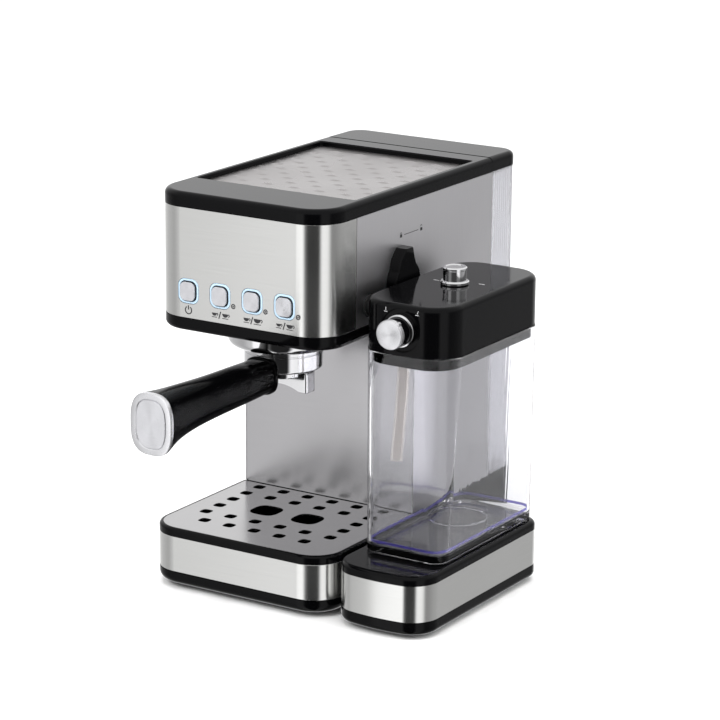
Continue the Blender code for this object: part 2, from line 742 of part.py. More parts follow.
# ---- drip tray ----
def make_drip_tray():
    rear = COLUMN_Y - GAP
    tray = block(
        "drip_tray",
        (TRAY_X0, TRAY_Y, BAND_Z1 + GAP),
        (TRAY_X1, rear, TRAY_TOP),
        BLACK,
        (TRAY_CORNER, TRAY_CORNER, 0, 0),
        (TRAY_EDGE, 0),
        segments=7,
    )
    inset = BAND_SHEET + GAP
    body = block(
        "tray_body",
        (TRAY_X0 + inset, TRAY_Y + inset, BAND_Z0),
        (TRAY_X1 - inset, rear, BAND_Z1 + 2),
        None,
        (TRAY_CORNER - inset, TRAY_CORNER - inset, 0, 0),
        segments=7,
    )
    join(tray, body)
    wall = 3.4
    pool = block(
        "tray_pool",
        (TRAY_X0 + wall, TRAY_Y + wall, BAND_Z0 + 2.8),
        (TRAY_X1 - wall, rear - 2.6, 42.5),
        None,
        (TRAY_CORNER - wall, TRAY_CORNER - wall, 0, 0),
    )
    neck = block("tray_neck", (8.5, 6, 40), (147.4, 119, 60), None, (14, 14, 2, 2), segments=5)
    rim = GRID_MARGIN - GAP
    seat = block(
        "tray_seat",
        (TRAY_X0 + rim, TRAY_Y + rim, 46.4),
        (TRAY_X1 - rim, GRID_REAR + GAP, 60),
        None,
        (TRAY_CORNER - rim, TRAY_CORNER - rim, 3, 3),
        segments=8,
    )
    cut(tray, pool, neck, seat)

    band = block(
        "drip_band",
        (TRAY_X0, TRAY_Y, BAND_Z0 + GAP),
        (TRAY_X1, rear, BAND_Z1),
        STEEL,
        (TRAY_CORNER, TRAY_CORNER, 0, 0),
        segments=7,
    )
    inner = block(
        "drip_band_inner",
        (TRAY_X0 + BAND_SHEET, TRAY_Y + BAND_SHEET, 0),
        (TRAY_X1 - BAND_SHEET, rear + 10, 60),
        None,
        (TRAY_CORNER - BAND_SHEET, TRAY_CORNER - BAND_SHEET, 0, 0),
        segments=7,
    )
    cut(band, inner)

    grid = block(
        "drip_grid",
        (TRAY_X0 + GRID_MARGIN, TRAY_Y + GRID_MARGIN, 46.7),
        (TRAY_X1 - GRID_MARGIN, GRID_REAR, GRID_TOP),
        STEEL,
        (TRAY_CORNER - GRID_MARGIN, TRAY_CORNER - GRID_MARGIN, 2.7, 2.7),
        segments=8,
    )
    holes = grid_holes()
    for i, (x, y, side) in enumerate(holes):
        half, corner = side / 2, side * 0.3
        hole = block(
            f"grid_hole_{i}",
            (x - half, y - half, 40),
            (x + half, y + half, 60),
            None,
            (corner,) * 4,
            segments=1,
        )
        cut(grid, hole)


def grid_holes():
    """Small holes on a staggered grid round two large ones under the spouts."""
    small, large = 9.0, 23.0
    pitch_x, pitch_y = 22.6, 18.2
    first_x, first_y = 19.6, 41.2
    holes = [(57.1, 68.2, large), (94.6, 68.2, large)]
    for row in range(5):
        columns = (0, 5) if row in (1, 2) else range(6)
        holes += [(first_x + pitch_x * c, first_y + pitch_y * row, small) for c in columns]
    holes += [(first_x + pitch_x * (c + 0.5), first_y - pitch_y, small) for c in range(5)]
    return holes


# ---- water tank ----
def make_water_tank():
    tank = block(
        "water_tank",
        (GAP, TANK_SEAM_Y + GAP, TRAY_TOP + 0.6),
        (HEAD_W - GAP, REAR_Y - GAP, FRAME_Z - GAP),
        CLEAR,
        (0, 0, REAR_CORNER, REAR_CORNER),
    )
    wall = 2.4
    hollow = block(
        "water_tank_hollow",
        (GAP + wall, TANK_SEAM_Y + GAP + wall, TRAY_TOP + 3.2),
        (HEAD_W - GAP - wall, REAR_Y - GAP - wall, 320),
        None,
        (0, 0, REAR_CORNER - wall, REAR_CORNER - wall),
    )
    outlet = span("tank_outlet", "Z", 40, 60, (GROUP_X, OUTLET_Y), 5.2, sides=16)
    cut(tank, hollow, outlet)

    valve = span("tank_valve", "Z", 44, 60, (GROUP_X, OUTLET_Y), 4.8, MATT, 20)
    join(valve, span("valve_flange", "Z", TRAY_TOP + 3.5, 54.5, (GROUP_X, OUTLET_Y), 8, sides=16))
    cut(valve, span("valve_bore", "Z", 40, 58, (GROUP_X, OUTLET_Y), 2.6, sides=12))

    lid = block(
        "water_tank_lid",
        (0, TANK_SEAM_Y, FRAME_Z),
        (HEAD_W, REAR_Y, TOP_Z),
        BLACK,
        (0, 0, REAR_CORNER, REAR_CORNER),
        (EDGE, 0),
    )
    lip = block(
        "tank_lid_lip",
        (3.5, TANK_SEAM_Y + 3.5, 292),
        (HEAD_W - 3.5, REAR_Y - 3.7, 297),
        None,
        (0, 0, 11, 11),
        segments=5,
    )
    under = block(
        "tank_lid_hollow",
        (5.5, TANK_SEAM_Y + 5.5, 285),
        (HEAD_W - 5.5, REAR_Y - 5.7, 303),
        None,
        (0, 0, 9, 9),
        segments=5,
    )
    join(lid, lip)
    cut(lid, under)


# ---- milk side ----
def milk_outline(z, inset):
    """The milk base's outline at a height, shrunk by inset. Its front bulges."""
    return rounded_outline(
        MILK_X0 + inset,
        MILK_Y0 + inset,
        MILK_X1 - inset,
        MILK_Y1 - inset,
        (MILK_CORNER - inset, REAR_CORNER - inset),
        z,
        bulge=MILK_BULGE,
        front_steps=4,
    )


def milk_prism(name, inset, z0, z1, finish=None):
    """An upright prism on the milk base's outline, shrunk by inset."""
    return loft(name, [milk_outline(z, inset) for z in (z0, z1)], finish)


def make_milk_base():
    """A black shell with a steel band round it, closed from below by a cover with two feet,
    and held to the base housing by a short bridge."""
    wall, roof = 5.5, 3.0
    cover_z, cover_thickness = BASE_Z + 0.5, 2.5
    base = milk_prism("milk_base", 0, BAND_Z1 + GAP, TRAY_TOP - 3.5, BLACK)
    shoulder_curve = ((4.0, 0.0), (1.8, 0.7), (0.5, 2.0), (0.0, 3.6))  # (below the top, inset)
    skirt_curve = ((0.0, 4.0), (1.8, 1.2), (EDGE, 0.0), (BAND_Z0 - GAP - BASE_Z, 0.0))
    shoulder = loft(
        "milk_base_shoulder", [milk_outline(TRAY_TOP - drop, inset) for drop, inset in shoulder_curve]
    )
    skirt = loft("milk_base_skirt", [milk_outline(BASE_Z + rise, inset) for rise, inset in skirt_curve])
    core = milk_prism("milk_base_core", BAND_SHEET + GAP, BAND_Z0 - 2, BAND_Z1 + 2)
    hollow = milk_prism("milk_base_hollow", wall, -1, TRAY_TOP - roof)
    bridge_low, bridge_high = (132, 16), (164, 34)
    bridge = block("milk_base_bridge", (HEAD_W + GAP, *bridge_low), (MILK_X0 + 3, *bridge_high))
    join(base, shoulder, core, skirt)
    cut(base, hollow)
    join(base, bridge)

    milk_prism("milk_base_cover", wall + GAP, cover_z, cover_z + cover_thickness, MATT)
    for name, y in (("foot_milk_front", 24.0), ("foot_milk_rear", 148.0)):
        span(name, "Z", 0, cover_z - GAP, (MILK_MID_X, y), FOOT_R, RUBBER, sides=12, rims=(0, 1))

    band = milk_prism("milk_base_band", 0, BAND_Z0, BAND_Z1, STEEL)
    notch_low = [value - GAP - 0.1 for value in bridge_low]
    notch_high = [value + GAP + 0.1 for value in bridge_high]
    notch = block("milk_band_notch", (HEAD_W, *notch_low), (MILK_X0 + 3.5, *notch_high))
    cut(band, milk_prism("milk_band_inner", BAND_SHEET, 0, 60), notch)


def jug_section(z, inset=0.0):
    """The drafted outline of the milk tank at a height."""
    t = (z - JUG_Z0) / (JUG_Z1 - JUG_Z0)
    x0, y0, x1, y1 = (a + (b - a) * t for a, b in zip(JUG_LOW, JUG_HIGH))
    corner = JUG_LOW_CORNER + (JUG_HIGH_CORNER - JUG_LOW_CORNER) * t - inset
    return rounded_outline(x0 + inset, y0 + inset, x1 - inset, y1 - inset, (corner, corner), z)


def make_milk_tank():
    outside = [jug_section(JUG_Z0, 1.2), jug_section(JUG_Z0 + 1.5), jug_section(JUG_Z1)]
    tank = loft("milk_tank", outside, CLEAR)
    hollow = loft(
        "milk_tank_hollow",
        [
            jug_section(JUG_Z0 + JUG_FLOOR, JUG_WALL),
            jug_section(JUG_Z1, JUG_WALL),
            [(x, y, 230) for x, y, _ in jug_section(JUG_Z1, JUG_WALL)],
        ],
    )
    cut(tank, hollow)


def lid_block(name, inset, z0, z1, finish=None, rims=None):
    """A block on the lid's outline, shrunk by inset."""
    x0, y0, x1, y1 = JUG_HIGH
    shrink = inset + 0.5
    corner = JUG_HIGH_CORNER - shrink
    return block(
        name,
        (x0 + shrink, y0 + shrink, z0),
        (x1 - shrink, y1 - shrink, z1),
        finish,
        (corner,) * 4,
        rims,
        segments=6,
    )


def make_milk_lid():
    lid = lid_block("milk_lid", 0, JUG_Z1 + GAP, LID_TOP, BLACK, (EDGE, 0))
    skirt = lid_block("milk_lid_skirt", 3.2, 193.7, JUG_Z1 + 2)
    upper = lid_block("milk_lid_upper_hollow", 2.6, JUG_Z1 + 4, LID_TOP - 3)
    lower = lid_block("milk_lid_lower_hollow", 5.8, 185, JUG_Z1 + 6)
    join(lid, skirt)
    cut(lid, upper, lower)
    face_y = JUG_HIGH[1] + 0.5
    recess = span("froth_recess", "Y", 10, face_y + 1.3, (MILK_MID_X, FROTH_Z), 16, sides=24)
    shaft_hole = span("froth_hole", "Y", 10, 40, (MILK_MID_X, FROTH_Z), 4.2, sides=16)
    top_hole = span("top_knob_hole", "Z", 230, 250, (MILK_MID_X, TOP_KNOB_Y), 4.0, sides=16)
    nozzle_hole = span("nozzle_hole", "X", 150, 175, (MILK_PORT_Y, MILK_PORT_Z), 5.2, sides=16)
    cut(lid, recess, shaft_hole, top_hole, nozzle_hole)

    nozzle = span(
        "milk_nozzle", "X", HEAD_W + 2 * GAP, 163.5, (MILK_PORT_Y, MILK_PORT_Z), 6.2, MATT, 24
    )
    join(nozzle, span("nozzle_tail", "X", 163, 172, (MILK_PORT_Y, MILK_PORT_Z), 4.9, sides=16))
    cut(nozzle, span("nozzle_bore", "X", 150, 180, (MILK_PORT_Y, MILK_PORT_Z), 2.4, sides=12))

    bezel = span("froth_bezel", "Y", 21.4, face_y + 1.0, (MILK_MID_X, FROTH_Z), 12.4, CHROME, 24, (0, 1))
    cut(bezel, span("bezel_bore", "Y", 10, 40, (MILK_MID_X, FROTH_Z), 9.6, sides=24))

    knob = span("froth_knob", "Y", 12.4, 21.1, (MILK_MID_X, FROTH_Z), 10.6, BLACK, 24)
    grip_collar = span("froth_collar", "Y", 20.5, 25.6, (MILK_MID_X, FROTH_Z), 9.3, sides=24)
    join(knob, grip_collar, span("froth_shaft", "Y", 20, 36, (MILK_MID_X, FROTH_Z), 3.9, sides=16))
    cut(knob, block("froth_notch", (MILK_MID_X - 1, 5, FROTH_Z + 8.6), (MILK_MID_X + 1, 16, 240)))
    span("froth_knob_face", "Y", 8.4, 12.1, (MILK_MID_X, FROTH_Z), 11.0, SILVER, 24, (0, 1.5))

    top = span(
        "top_knob", "Z", LID_TOP + GAP, 243.2, (MILK_MID_X, TOP_KNOB_Y), 10.7, CHROME, 24, (0.8, 0)
    )
    body = span("top_knob_body", "Z", 243, 254, (MILK_MID_X, TOP_KNOB_Y), 8.8, None, 24, (1.2, 0))
    join(top, body, span("top_knob_shaft", "Z", 226, 242, (MILK_MID_X, TOP_KNOB_Y), 3.7, sides=16))

    hose(
        "suction_tube",
        [(190.5, 50, 237.2), (190.5, 50, 210), (190.3, 50, 186), (188.2, 50, 158), (184, 50, 116)],
        SUCTION_R,
        TUBE,
    )


# ---- joints ----
AXIS_PLACES = {}


def attach(name, place, children, parent=None):
    """Hangs pieces on an empty at their joint, and the empty on its parent's, in place."""
    AXIS_PLACES[name] = place
    axis = bpy.data.objects.new(name, None)
    axis.location = point(*place)
    axis.empty_display_size = 0.01
    parts.objects.link(axis)
    for child in children:
        piece = bpy.data.objects[child]
        piece.parent = axis
        piece.location = piece.location - axis.location
    if parent:
        axis.parent = bpy.data.objects[parent]
        axis.location = axis.location - point(*AXIS_PLACES[parent])


def make_joints():
    portafilter = ["portafilter_bowl", "filter_basket", "portafilter_spout"]
    portafilter += ["portafilter_handle", "handle_cap"]
    attach("portafilter_axis", (GROUP_X, GROUP_Y, BOWL_Z1), portafilter)
    middle = HEAD_W / 2
    attach("drip_tray_slide", (middle, TRAY_Y, BAND_Z0), ["drip_tray", "drip_band"])
    attach("drip_grid_lift", (middle, 60, GRID_TOP), ["drip_grid"], "drip_tray_slide")
    attach("water_tank_lift", (middle, 260, TRAY_TOP), ["water_tank", "tank_valve"])
    attach("tank_lid_hinge", (middle, *LID_HINGE), ["water_tank_lid"], "water_tank_lift")
    attach("milk_tank_slide", (MILK_MID_X, 100, JUG_Z0), ["milk_tank"])
    lid_pieces = ["milk_lid", "milk_nozzle", "froth_bezel", "suction_tube"]
    attach("milk_lid_lift", (MILK_MID_X, 100, JUG_Z1), lid_pieces, "milk_tank_slide")
    froth = ["froth_knob", "froth_knob_face"]
    attach("froth_knob_axis", (MILK_MID_X, 20, FROTH_Z), froth, "milk_lid_lift")
    top_place = (MILK_MID_X, TOP_KNOB_Y, LID_TOP)
    attach("top_knob_axis", top_place, ["top_knob"], "milk_lid_lift")
    attach("lock_lever_axis", (HEAD_W, LEVER_Y, LEVER_Z), ["lock_lever"])
    for i, use in enumerate(BUTTONS):
        x = BUTTON_X + BUTTON_PITCH * i
        attach(f"button_{use}_slide", (x, 0, BUTTON_Z), [f"button_{use}"])


make_base()
make_column()
make_head()
make_controls()
make_lever()
make_group()
make_portafilter()
make_water_works()
make_drip_tray()
make_water_tank()
make_milk_base()
make_milk_tank()
make_milk_lid()
make_joints()
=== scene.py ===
"""The espresso machine's looks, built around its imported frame.

Lengths are in millimetres in the frame's own axes. Most places come from the frame's boxes
and joints. span() and add_mesh() turn metres into millimetres and back.
"""
import json
import math

import bmesh
import bpy
from mathutils import Matrix, Vector

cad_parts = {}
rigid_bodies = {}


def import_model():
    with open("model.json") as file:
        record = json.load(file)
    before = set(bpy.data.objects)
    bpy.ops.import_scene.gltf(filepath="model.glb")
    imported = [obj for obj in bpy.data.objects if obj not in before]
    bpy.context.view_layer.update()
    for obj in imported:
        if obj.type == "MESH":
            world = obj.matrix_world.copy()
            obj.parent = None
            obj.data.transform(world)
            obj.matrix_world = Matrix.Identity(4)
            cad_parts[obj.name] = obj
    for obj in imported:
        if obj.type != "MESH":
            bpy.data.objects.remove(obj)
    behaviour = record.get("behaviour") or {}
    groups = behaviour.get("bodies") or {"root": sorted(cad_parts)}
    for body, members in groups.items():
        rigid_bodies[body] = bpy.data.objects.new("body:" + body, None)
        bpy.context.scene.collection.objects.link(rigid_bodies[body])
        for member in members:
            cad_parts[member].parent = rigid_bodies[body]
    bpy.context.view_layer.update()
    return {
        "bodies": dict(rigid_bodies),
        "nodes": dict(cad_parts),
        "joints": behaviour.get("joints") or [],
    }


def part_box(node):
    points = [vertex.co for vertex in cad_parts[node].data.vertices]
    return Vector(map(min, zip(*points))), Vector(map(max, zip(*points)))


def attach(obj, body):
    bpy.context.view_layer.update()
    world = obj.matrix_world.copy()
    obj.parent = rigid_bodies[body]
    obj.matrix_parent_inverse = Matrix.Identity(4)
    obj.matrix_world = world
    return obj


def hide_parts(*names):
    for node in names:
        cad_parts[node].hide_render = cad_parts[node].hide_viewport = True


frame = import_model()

MM = 0.001
JOINTS = {joint["name"]: joint for joint in frame["joints"]}

# ---- shared radii of the housing, as in the frame ----
HEAD_CORNER = 26.2
TRAY_CORNER = 25.3
REAR_CORNER = 15.0
MILK_CORNER = 18.0
MILK_BULGE = 5.1
JUG_CORNER_LOW, JUG_CORNER_HIGH = 12.0, 25.0
EDGE = 4.5
SHEET = 0.8
ROUND = 72  # sides of a turned piece
STUB_Z, STUB_R = 173.0, 4.5  # the stub that the handle is fixed on
HALO, HALO_RISE = 18.0, 0.6  # a halo's width, and how much taller than wide it is
MARK_DEPTH = 0.12


def span(node):
    """A CAD node's lowest and highest corners."""
    low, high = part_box(node)
    return low / MM, high / MM


def plan(node, gap=0.0):
    """A CAD node's box seen from above, grown by a gap, as outline() takes it."""
    low, high = span(node)
    return (low.x - gap, low.y - gap, high.x + gap, high.y + gap)


def middle(node):
    low, high = span(node)
    return (low + high) / 2


def axis_place(joint):
    return Vector(JOINTS[joint]["pos_m"]) / MM


# ---- mesh building ----
def polish(obj, angle=30.0):
    """Faces out, smooth shading, sharp where the surface turns."""
    mesh = obj.data
    bm = bmesh.new()
    bm.from_mesh(mesh)
    bmesh.ops.remove_doubles(bm, verts=bm.verts, dist=1e-7)
    bmesh.ops.recalc_face_normals(bm, faces=bm.faces)
    bm.to_mesh(mesh)
    bm.free()
    mesh.shade_smooth()
    mesh.set_sharp_from_angle(angle=math.radians(angle))
    return obj


def add_mesh(name, points, faces, angle=30.0):
    mesh = bpy.data.meshes.new(name)
    mesh.from_pydata([Vector(p) * MM for p in points], [], faces)
    made = bpy.data.objects.new(name, mesh)
    bpy.context.scene.collection.objects.link(made)
    return polish(made, angle)


def skin(name, rings, loop=False, angle=30.0):
    """A closed surface through rings with equal point counts: capped at both ends, or,
    with loop, joined from the last ring back to the first."""
    count = len(rings[0])
    points = [p for ring in rings for p in ring]
    faces = []
    pairs = [(k, k + 1) for k in range(len(rings) - 1)]
    if loop:
        pairs.append((len(rings) - 1, 0))
    for lower, upper in pairs:
        for i in range(count):
            j = (i + 1) % count
            a, b = lower * count, upper * count
            faces.append((a + i, a + j, b + j, b + i))
    if not loop:
        faces.append(tuple(range(count)))
        faces.append(tuple(range((len(rings) - 1) * count, len(rings) * count)))
    return add_mesh(name, points, faces, angle)


def outline(box, inset=0.0, radii=(0, 0, 0, 0), sides=(1, 1, 1, 1), steps=16, bulge=0.0):
    """Points round the rectangle (x0, y0, x1, y1) moved in by inset. radii: front left, front
    right, rear right, rear left. sides scales the inset at the front, right, rear and left.
    bulge curves the front outwards."""
    x0, y0, x1, y1 = box
    front, right, rear, left = (inset * share for share in sides)
    x0, y0, x1, y1 = x0 + left, y0 + front, x1 - right, y1 - rear
    turns = [max(radius - inset, 0.2) if radius else 0 for radius in radii]
    fl, fr, rr, rl = turns
    corners = (
        (x0 + fl, y0 + fl, fl, 180),
        (x1 - fr, y0 + fr, fr, 270),
        (x1 - rr, y1 - rr, rr, 0),
        (x0 + rl, y1 - rl, rl, 90),
    )
    points = []
    for cx, cy, radius, start in corners:
        if start == 270 and bulge:
            first = x0 + fl
            run = x1 - fr - first
            points += [(first + run * i / steps, y0) for i in range(1, steps)]
        count = steps if radius else 0
        for i in range(count + 1):
            angle = math.radians(start + (90 * i / count if count else 0))
            points.append((cx + radius * math.cos(angle), cy + radius * math.sin(angle)))
    centre, half = (x0 + x1) / 2, (x1 - x0) / 2
    bent = []
    for x, y in points:
        if bulge and y < y0 + max(fl, fr) + 1e-6:
            y -= bulge * (1 - ((x - centre) / half) ** 2)
        bent.append((x, y))
    return bent


def prism(name, section, profile, loop=False):
    """A solid whose outline at each (inset, z) of the profile is section(inset)."""
    rings = [[(x, y, z) for x, y in section(inset)] for inset, z in profile]
    return skin(name, rings, loop)


def top_round(z, radius, steps=8):
    """The (inset, z) profile of a rounded top edge, going up."""
    turns = [math.pi / 2 * i / steps for i in range(steps + 1)]
    return [(radius * (1 - math.cos(t)), z - radius * (1 - math.sin(t))) for t in turns]


def bottom_round(z, radius, steps=8):
    """The (inset, z) profile of a rounded bottom edge, going up."""
    return [(inset, 2 * z - height) for inset, height in reversed(top_round(z, radius, steps))]


def turned(name, centre, profile, axis="Z", loop=False, steps=ROUND):
    """A lathe piece: profile is a list of (radius, distance along the axis)."""
    rings = []
    for radius, along in profile:
        ring = []
        for i in range(steps):
            turn = 2 * math.pi * i / steps
            a, b = radius * math.cos(turn), radius * math.sin(turn)
            local = {"Z": (a, b, along), "Y": (a, along, b), "X": (along, a, b)}[axis]
            ring.append(Vector(centre) + Vector(local))
        rings.append(ring)
    return skin(name, rings, loop)


def rod(name, centre, radius, start, end, axis="Z", steps=ROUND):
    """A plain round bar between two distances along its axis."""
    return turned(name, centre, [(radius, start), (radius, end)], axis, steps=steps)


def slab(name, box, radii, profile, sides=(1, 1, 1, 1), steps=16):
    """A prism on the outline of a box."""
    return prism(name, lambda inset: outline(box, inset, radii, sides, steps), profile)


def wrap_sheet(name, box, radius, thickness, z0, z1, steps=32):
    """A sheet bent round the front and its two corners, open at the rear."""
    x0, y0, x1, y1 = box

    def path(inset):
        turn = radius - inset
        points = [(x0 + inset, y1)]
        for cx, start in ((x0 + radius, 180), (x1 - radius, 270)):
            for i in range(steps + 1):
                angle = math.radians(start + 90 * i / steps)
                points.append((cx + turn * math.cos(angle), y0 + radius + turn * math.sin(angle)))
        return points + [(x1 - inset, y1)]

    ring = path(0) + path(thickness)[::-1]
    return skin(name, [[(x, y, z) for x, y in ring] for z in (z0, z1)])


def cuboid(name, low, high, rounding=0.0):
    """A box between two corners with rounded edges."""
    low, high = Vector(low), Vector(high)
    box = (low.x, low.y, high.x, high.y)
    made = prism(name, lambda inset: outline(box, inset), [(0, low.z), (0, high.z)])
    if rounding:
        soften(made, rounding, 3)
        bake(made)
    return made


def upright(name, x, z, width, height, y0, y1, corner, rounding=0.0):
    """A plate with rounded corners that faces the user, its front edge rounded."""
    box = (x - width / 2, z - height / 2, x + width / 2, z + height / 2)
    profile = [(0, -y1)] + (top_round(-y0, rounding) if rounding else [(0, -y0)])
    rings = []
    for inset, depth in profile:
        flat = outline(box, inset, (corner,) * 4, steps=8)
        rings.append([(u, -depth, v) for u, v in flat])
    return skin(name, rings)


def bake(obj):
    """Applies a piece's modifiers."""
    graph = bpy.context.evaluated_depsgraph_get()
    mesh = bpy.data.meshes.new_from_object(obj.evaluated_get(graph))
    obj.modifiers.clear()
    obj.data = mesh
    return polish(obj)


def soften(obj, width, segments=2):
    """Rounds the sharp edges."""
    bevel = obj.modifiers.new("edges", "BEVEL")
    bevel.width = width * MM
    bevel.segments = segments
    bevel.limit_method = "ANGLE"
    bevel.angle_limit = math.radians(40)
    return obj


def combine(obj, tools, operation):
    for tool in tools:
        step = obj.modifiers.new(tool.name, "BOOLEAN")
        step.operation = operation
        step.object = tool
    bake(obj)
    for tool in tools:
        bpy.data.objects.remove(tool, do_unlink=True)
    return obj


def carve(obj, *tools):
    return combine(obj, tools, "DIFFERENCE")


def fuse(obj, *tools):
    return combine(obj, tools, "UNION")


def place(obj, body, finish, slot, *nodes):
    """Gives a piece its finish, hangs it on a body, and hides the CAD nodes it stands for."""
    obj.data.materials.clear()
    obj.data.materials.append(finish)
    steady = obj.modifiers.new("flat_faces_stay_flat", "WEIGHTED_NORMAL")
    steady.keep_sharp = True
    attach(obj, body)
    if nodes:
        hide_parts(*nodes)
    return obj


# ---- materials ----
def add_node(made, kind, values=None, **settings):
    """A node in the tree of a material or the world, with its settings and input values."""
    node = made.node_tree.nodes.new("ShaderNode" + kind)
    for key, value in settings.items():
        setattr(node, key, value)
    for socket, value in (values or {}).items():
        node.inputs[socket].default_value = value
    return node


def link(made, source, target):
    made.node_tree.links.new(source, target)


def surface(made, socket):
    """An input of the material's surface shader."""
    return made.node_tree.nodes["Principled BSDF"].inputs[socket]


def new_material(name, colour, roughness, metallic=0.0, **sockets):
    made = bpy.data.materials.new(name)
    made.use_nodes = True
    surface(made, "Base Color").default_value = (*colour, 1)
    surface(made, "Roughness").default_value = roughness
    surface(made, "Metallic").default_value = metallic
    for socket, value in sockets.items():
        surface(made, socket.replace("_", " ")).default_value = value
    return made


def texture_space(made, stretch):
    """Object coordinates, in metres, stretched along each axis."""
    where = add_node(made, "TexCoord")
    scaled = add_node(made, "Mapping", {"Scale": stretch})
    link(made, where.outputs["Object"], scaled.inputs["Vector"])
    return scaled.outputs["Vector"]


def grain(made, vector, detail=3.0):
    """A noise with its mean at 0.5."""
    node = add_node(made, "TexNoise", {"Scale": 1.0, "Detail": detail})
    link(made, vector, node.inputs["Vector"])
    return node.outputs["Fac"]


def spread(made, source, low, high):
    """The source's middle range mapped to low to high."""
    values = {"From Min": 0.3, "From Max": 0.7, "To Min": low, "To Max": high}
    node = add_node(made, "MapRange", values)
    link(made, source, node.inputs["Value"])
    return node.outputs["Result"]


def tint(made, source, dark, light):
    """Base colour that varies between two colours with the source."""
    mix = add_node(made, "Mix", data_type="RGBA")
    mix.inputs["A"].default_value = (*dark, 1)
    mix.inputs["B"].default_value = (*light, 1)
    link(made, source, mix.inputs["Factor"])
    link(made, mix.outputs["Result"], surface(made, "Base Color"))


def emboss(made, source, strength, distance):
    bump = add_node(made, "Bump", {"Strength": strength, "Distance": distance})
    link(made, source, bump.inputs["Height"])
    link(made, bump.outputs["Normal"], surface(made, "Normal"))


def roughen(made, source, low, high):
    link(made, spread(made, source, low, high), surface(made, "Roughness"))


def turn_round(made, axis):
    """Tangents that run round an axis through the middle of the piece."""
    radial = add_node(made, "Tangent", direction_type="RADIAL", axis=axis)
    link(made, radial.outputs["Tangent"], surface(made, "Tangent"))


def scaled_colour(colour, factor):
    return tuple(min(1.0, c * factor) for c in colour)


def brushed(name, colour, roughness, along=(25, 25, 3500), tangent="Z", anisotropy=0.75, turn=0.25):
    """Sheet steel with fine straight brushing. along is the noise's scale on each axis. turn
    sets the highlight across the brushing."""
    made = new_material(name, colour, roughness, 1.0, Anisotropic=anisotropy, Anisotropic_Rotation=turn)
    lines = grain(made, texture_space(made, along), 4.0)
    clouds = grain(made, texture_space(made, (14, 14, 14)), 2.0)
    tint(made, lines, scaled_colour(colour, 0.93), scaled_colour(colour, 1.05))
    roughen(made, clouds, roughness * 0.88, roughness * 1.12)
    emboss(made, lines, 0.12, 0.00004)
    turn_round(made, tangent)
    return made


def spun(name, colour, roughness, centre):
    """Metal turned on a lathe that faces the user: rings round its centre, a fanned highlight."""
    made = new_material(name, colour, roughness, 1.0, Anisotropic=0.9, Anisotropic_Rotation=0.25)
    where = add_node(made, "TexCoord")
    offset = add_node(made, "VectorMath", {1: Vector(centre) * MM}, operation="SUBTRACT")
    distance = add_node(made, "VectorMath", operation="LENGTH")
    stretch = add_node(made, "Math", {1: 5000.0}, operation="MULTIPLY")
    rings = add_node(made, "TexNoise", {"Scale": 1.0}, noise_dimensions="1D")
    link(made, where.outputs["Object"], offset.inputs[0])
    link(made, offset.outputs["Vector"], distance.inputs[0])
    link(made, distance.outputs["Value"], stretch.inputs[0])
    link(made, stretch.outputs["Value"], rings.inputs["W"])
    tint(made, rings.outputs["Fac"], scaled_colour(colour, 0.86), scaled_colour(colour, 1.04))
    roughen(made, rings.outputs["Fac"], roughness * 0.85, roughness * 1.15)
    emboss(made, rings.outputs["Fac"], 0.25, 0.00003)
    turn_round(made, "Y")
    return made


def moulded(name, colour, roughness, texture=900.0, strength=0.1, **sockets):
    """Plastic or rubber with a fine mould texture."""
    made = new_material(name, colour, roughness, **sockets)
    fine = grain(made, texture_space(made, (texture,) * 3), 3.0)
    clouds = grain(made, texture_space(made, (35, 35, 35)), 3.0)
    tint(made, clouds, scaled_colour(colour, 0.85), scaled_colour(colour, 1.15))
    roughen(made, clouds, roughness * 0.8, roughness * 1.2)
    emboss(made, fine, strength, 0.00006)
    return made


def polished(name, colour, roughness):
    """Chrome: a near mirror with a faint waviness."""
    made = new_material(name, colour, roughness, 1.0)
    clouds = grain(made, texture_space(made, (60, 60, 60)), 3.0)
    tint(made, clouds, scaled_colour(colour, 0.97), scaled_colour(colour, 1.02))
    roughen(made, clouds, roughness * 0.7, roughness * 1.5)
    emboss(made, clouds, 0.04, 0.0001)
    return made


def clear(name, colour, roughness, transmission=1.0, stretch=(30, 30, 4), strength=0.03, index=1.4):
    """Clear plastic with faint flow lines."""
    made = new_material(name, colour, roughness, Transmission_Weight=transmission, IOR=index)
    flow = grain(made, texture_space(made, stretch), 2.0)
    tint(made, flow, scaled_colour(colour, 0.985), colour)
    roughen(made, flow, roughness, roughness * 1.6 + 0.004)
    emboss(made, flow, strength, 0.0004)
    return made


STEEL = brushed("head_steel", (0.72, 0.72, 0.705), 0.23, anisotropy=0.85)
SIDE_STEEL = brushed("side_steel", (0.8, 0.79, 0.81), 0.4, (2600, 2600, 25), turn=0.0)
COLUMN_STEEL = brushed("column_steel", (0.47, 0.465, 0.475), 0.24)
PLATE_STEEL = brushed("plate_steel", (0.37, 0.352, 0.35), 0.27, (25, 3000, 25), "X", 0.3, 0.0)
GRID_STEEL = brushed("grid_steel", (0.48, 0.475, 0.48), 0.2, (25, 3000, 25), "X", 0.4, 0.0)
INNER_STEEL = brushed("inner_steel", (0.6, 0.6, 0.6), 0.35)
CHROME = polished("chrome", (0.74, 0.74, 0.75), 0.09)
GLOSS = moulded("gloss_black", (0.0015, 0.0015, 0.0018), 0.08, 500.0, 0.012, Specular_IOR_Level=0.11)
HANDLE_BLACK = moulded("handle_black", (0.001, 0.001, 0.0012), 0.14, 500.0, 0.008, Specular_IOR_Level=0.05)
MATT = moulded("matt_black", (0.012, 0.012, 0.013), 0.55)
RUBBER = moulded("rubber", (0.025, 0.025, 0.025), 0.75, 1200.0, 0.2)
CAST = moulded("cast_metal", (0.42, 0.42, 0.43), 0.5, 700.0, 0.4, Metallic=1.0)
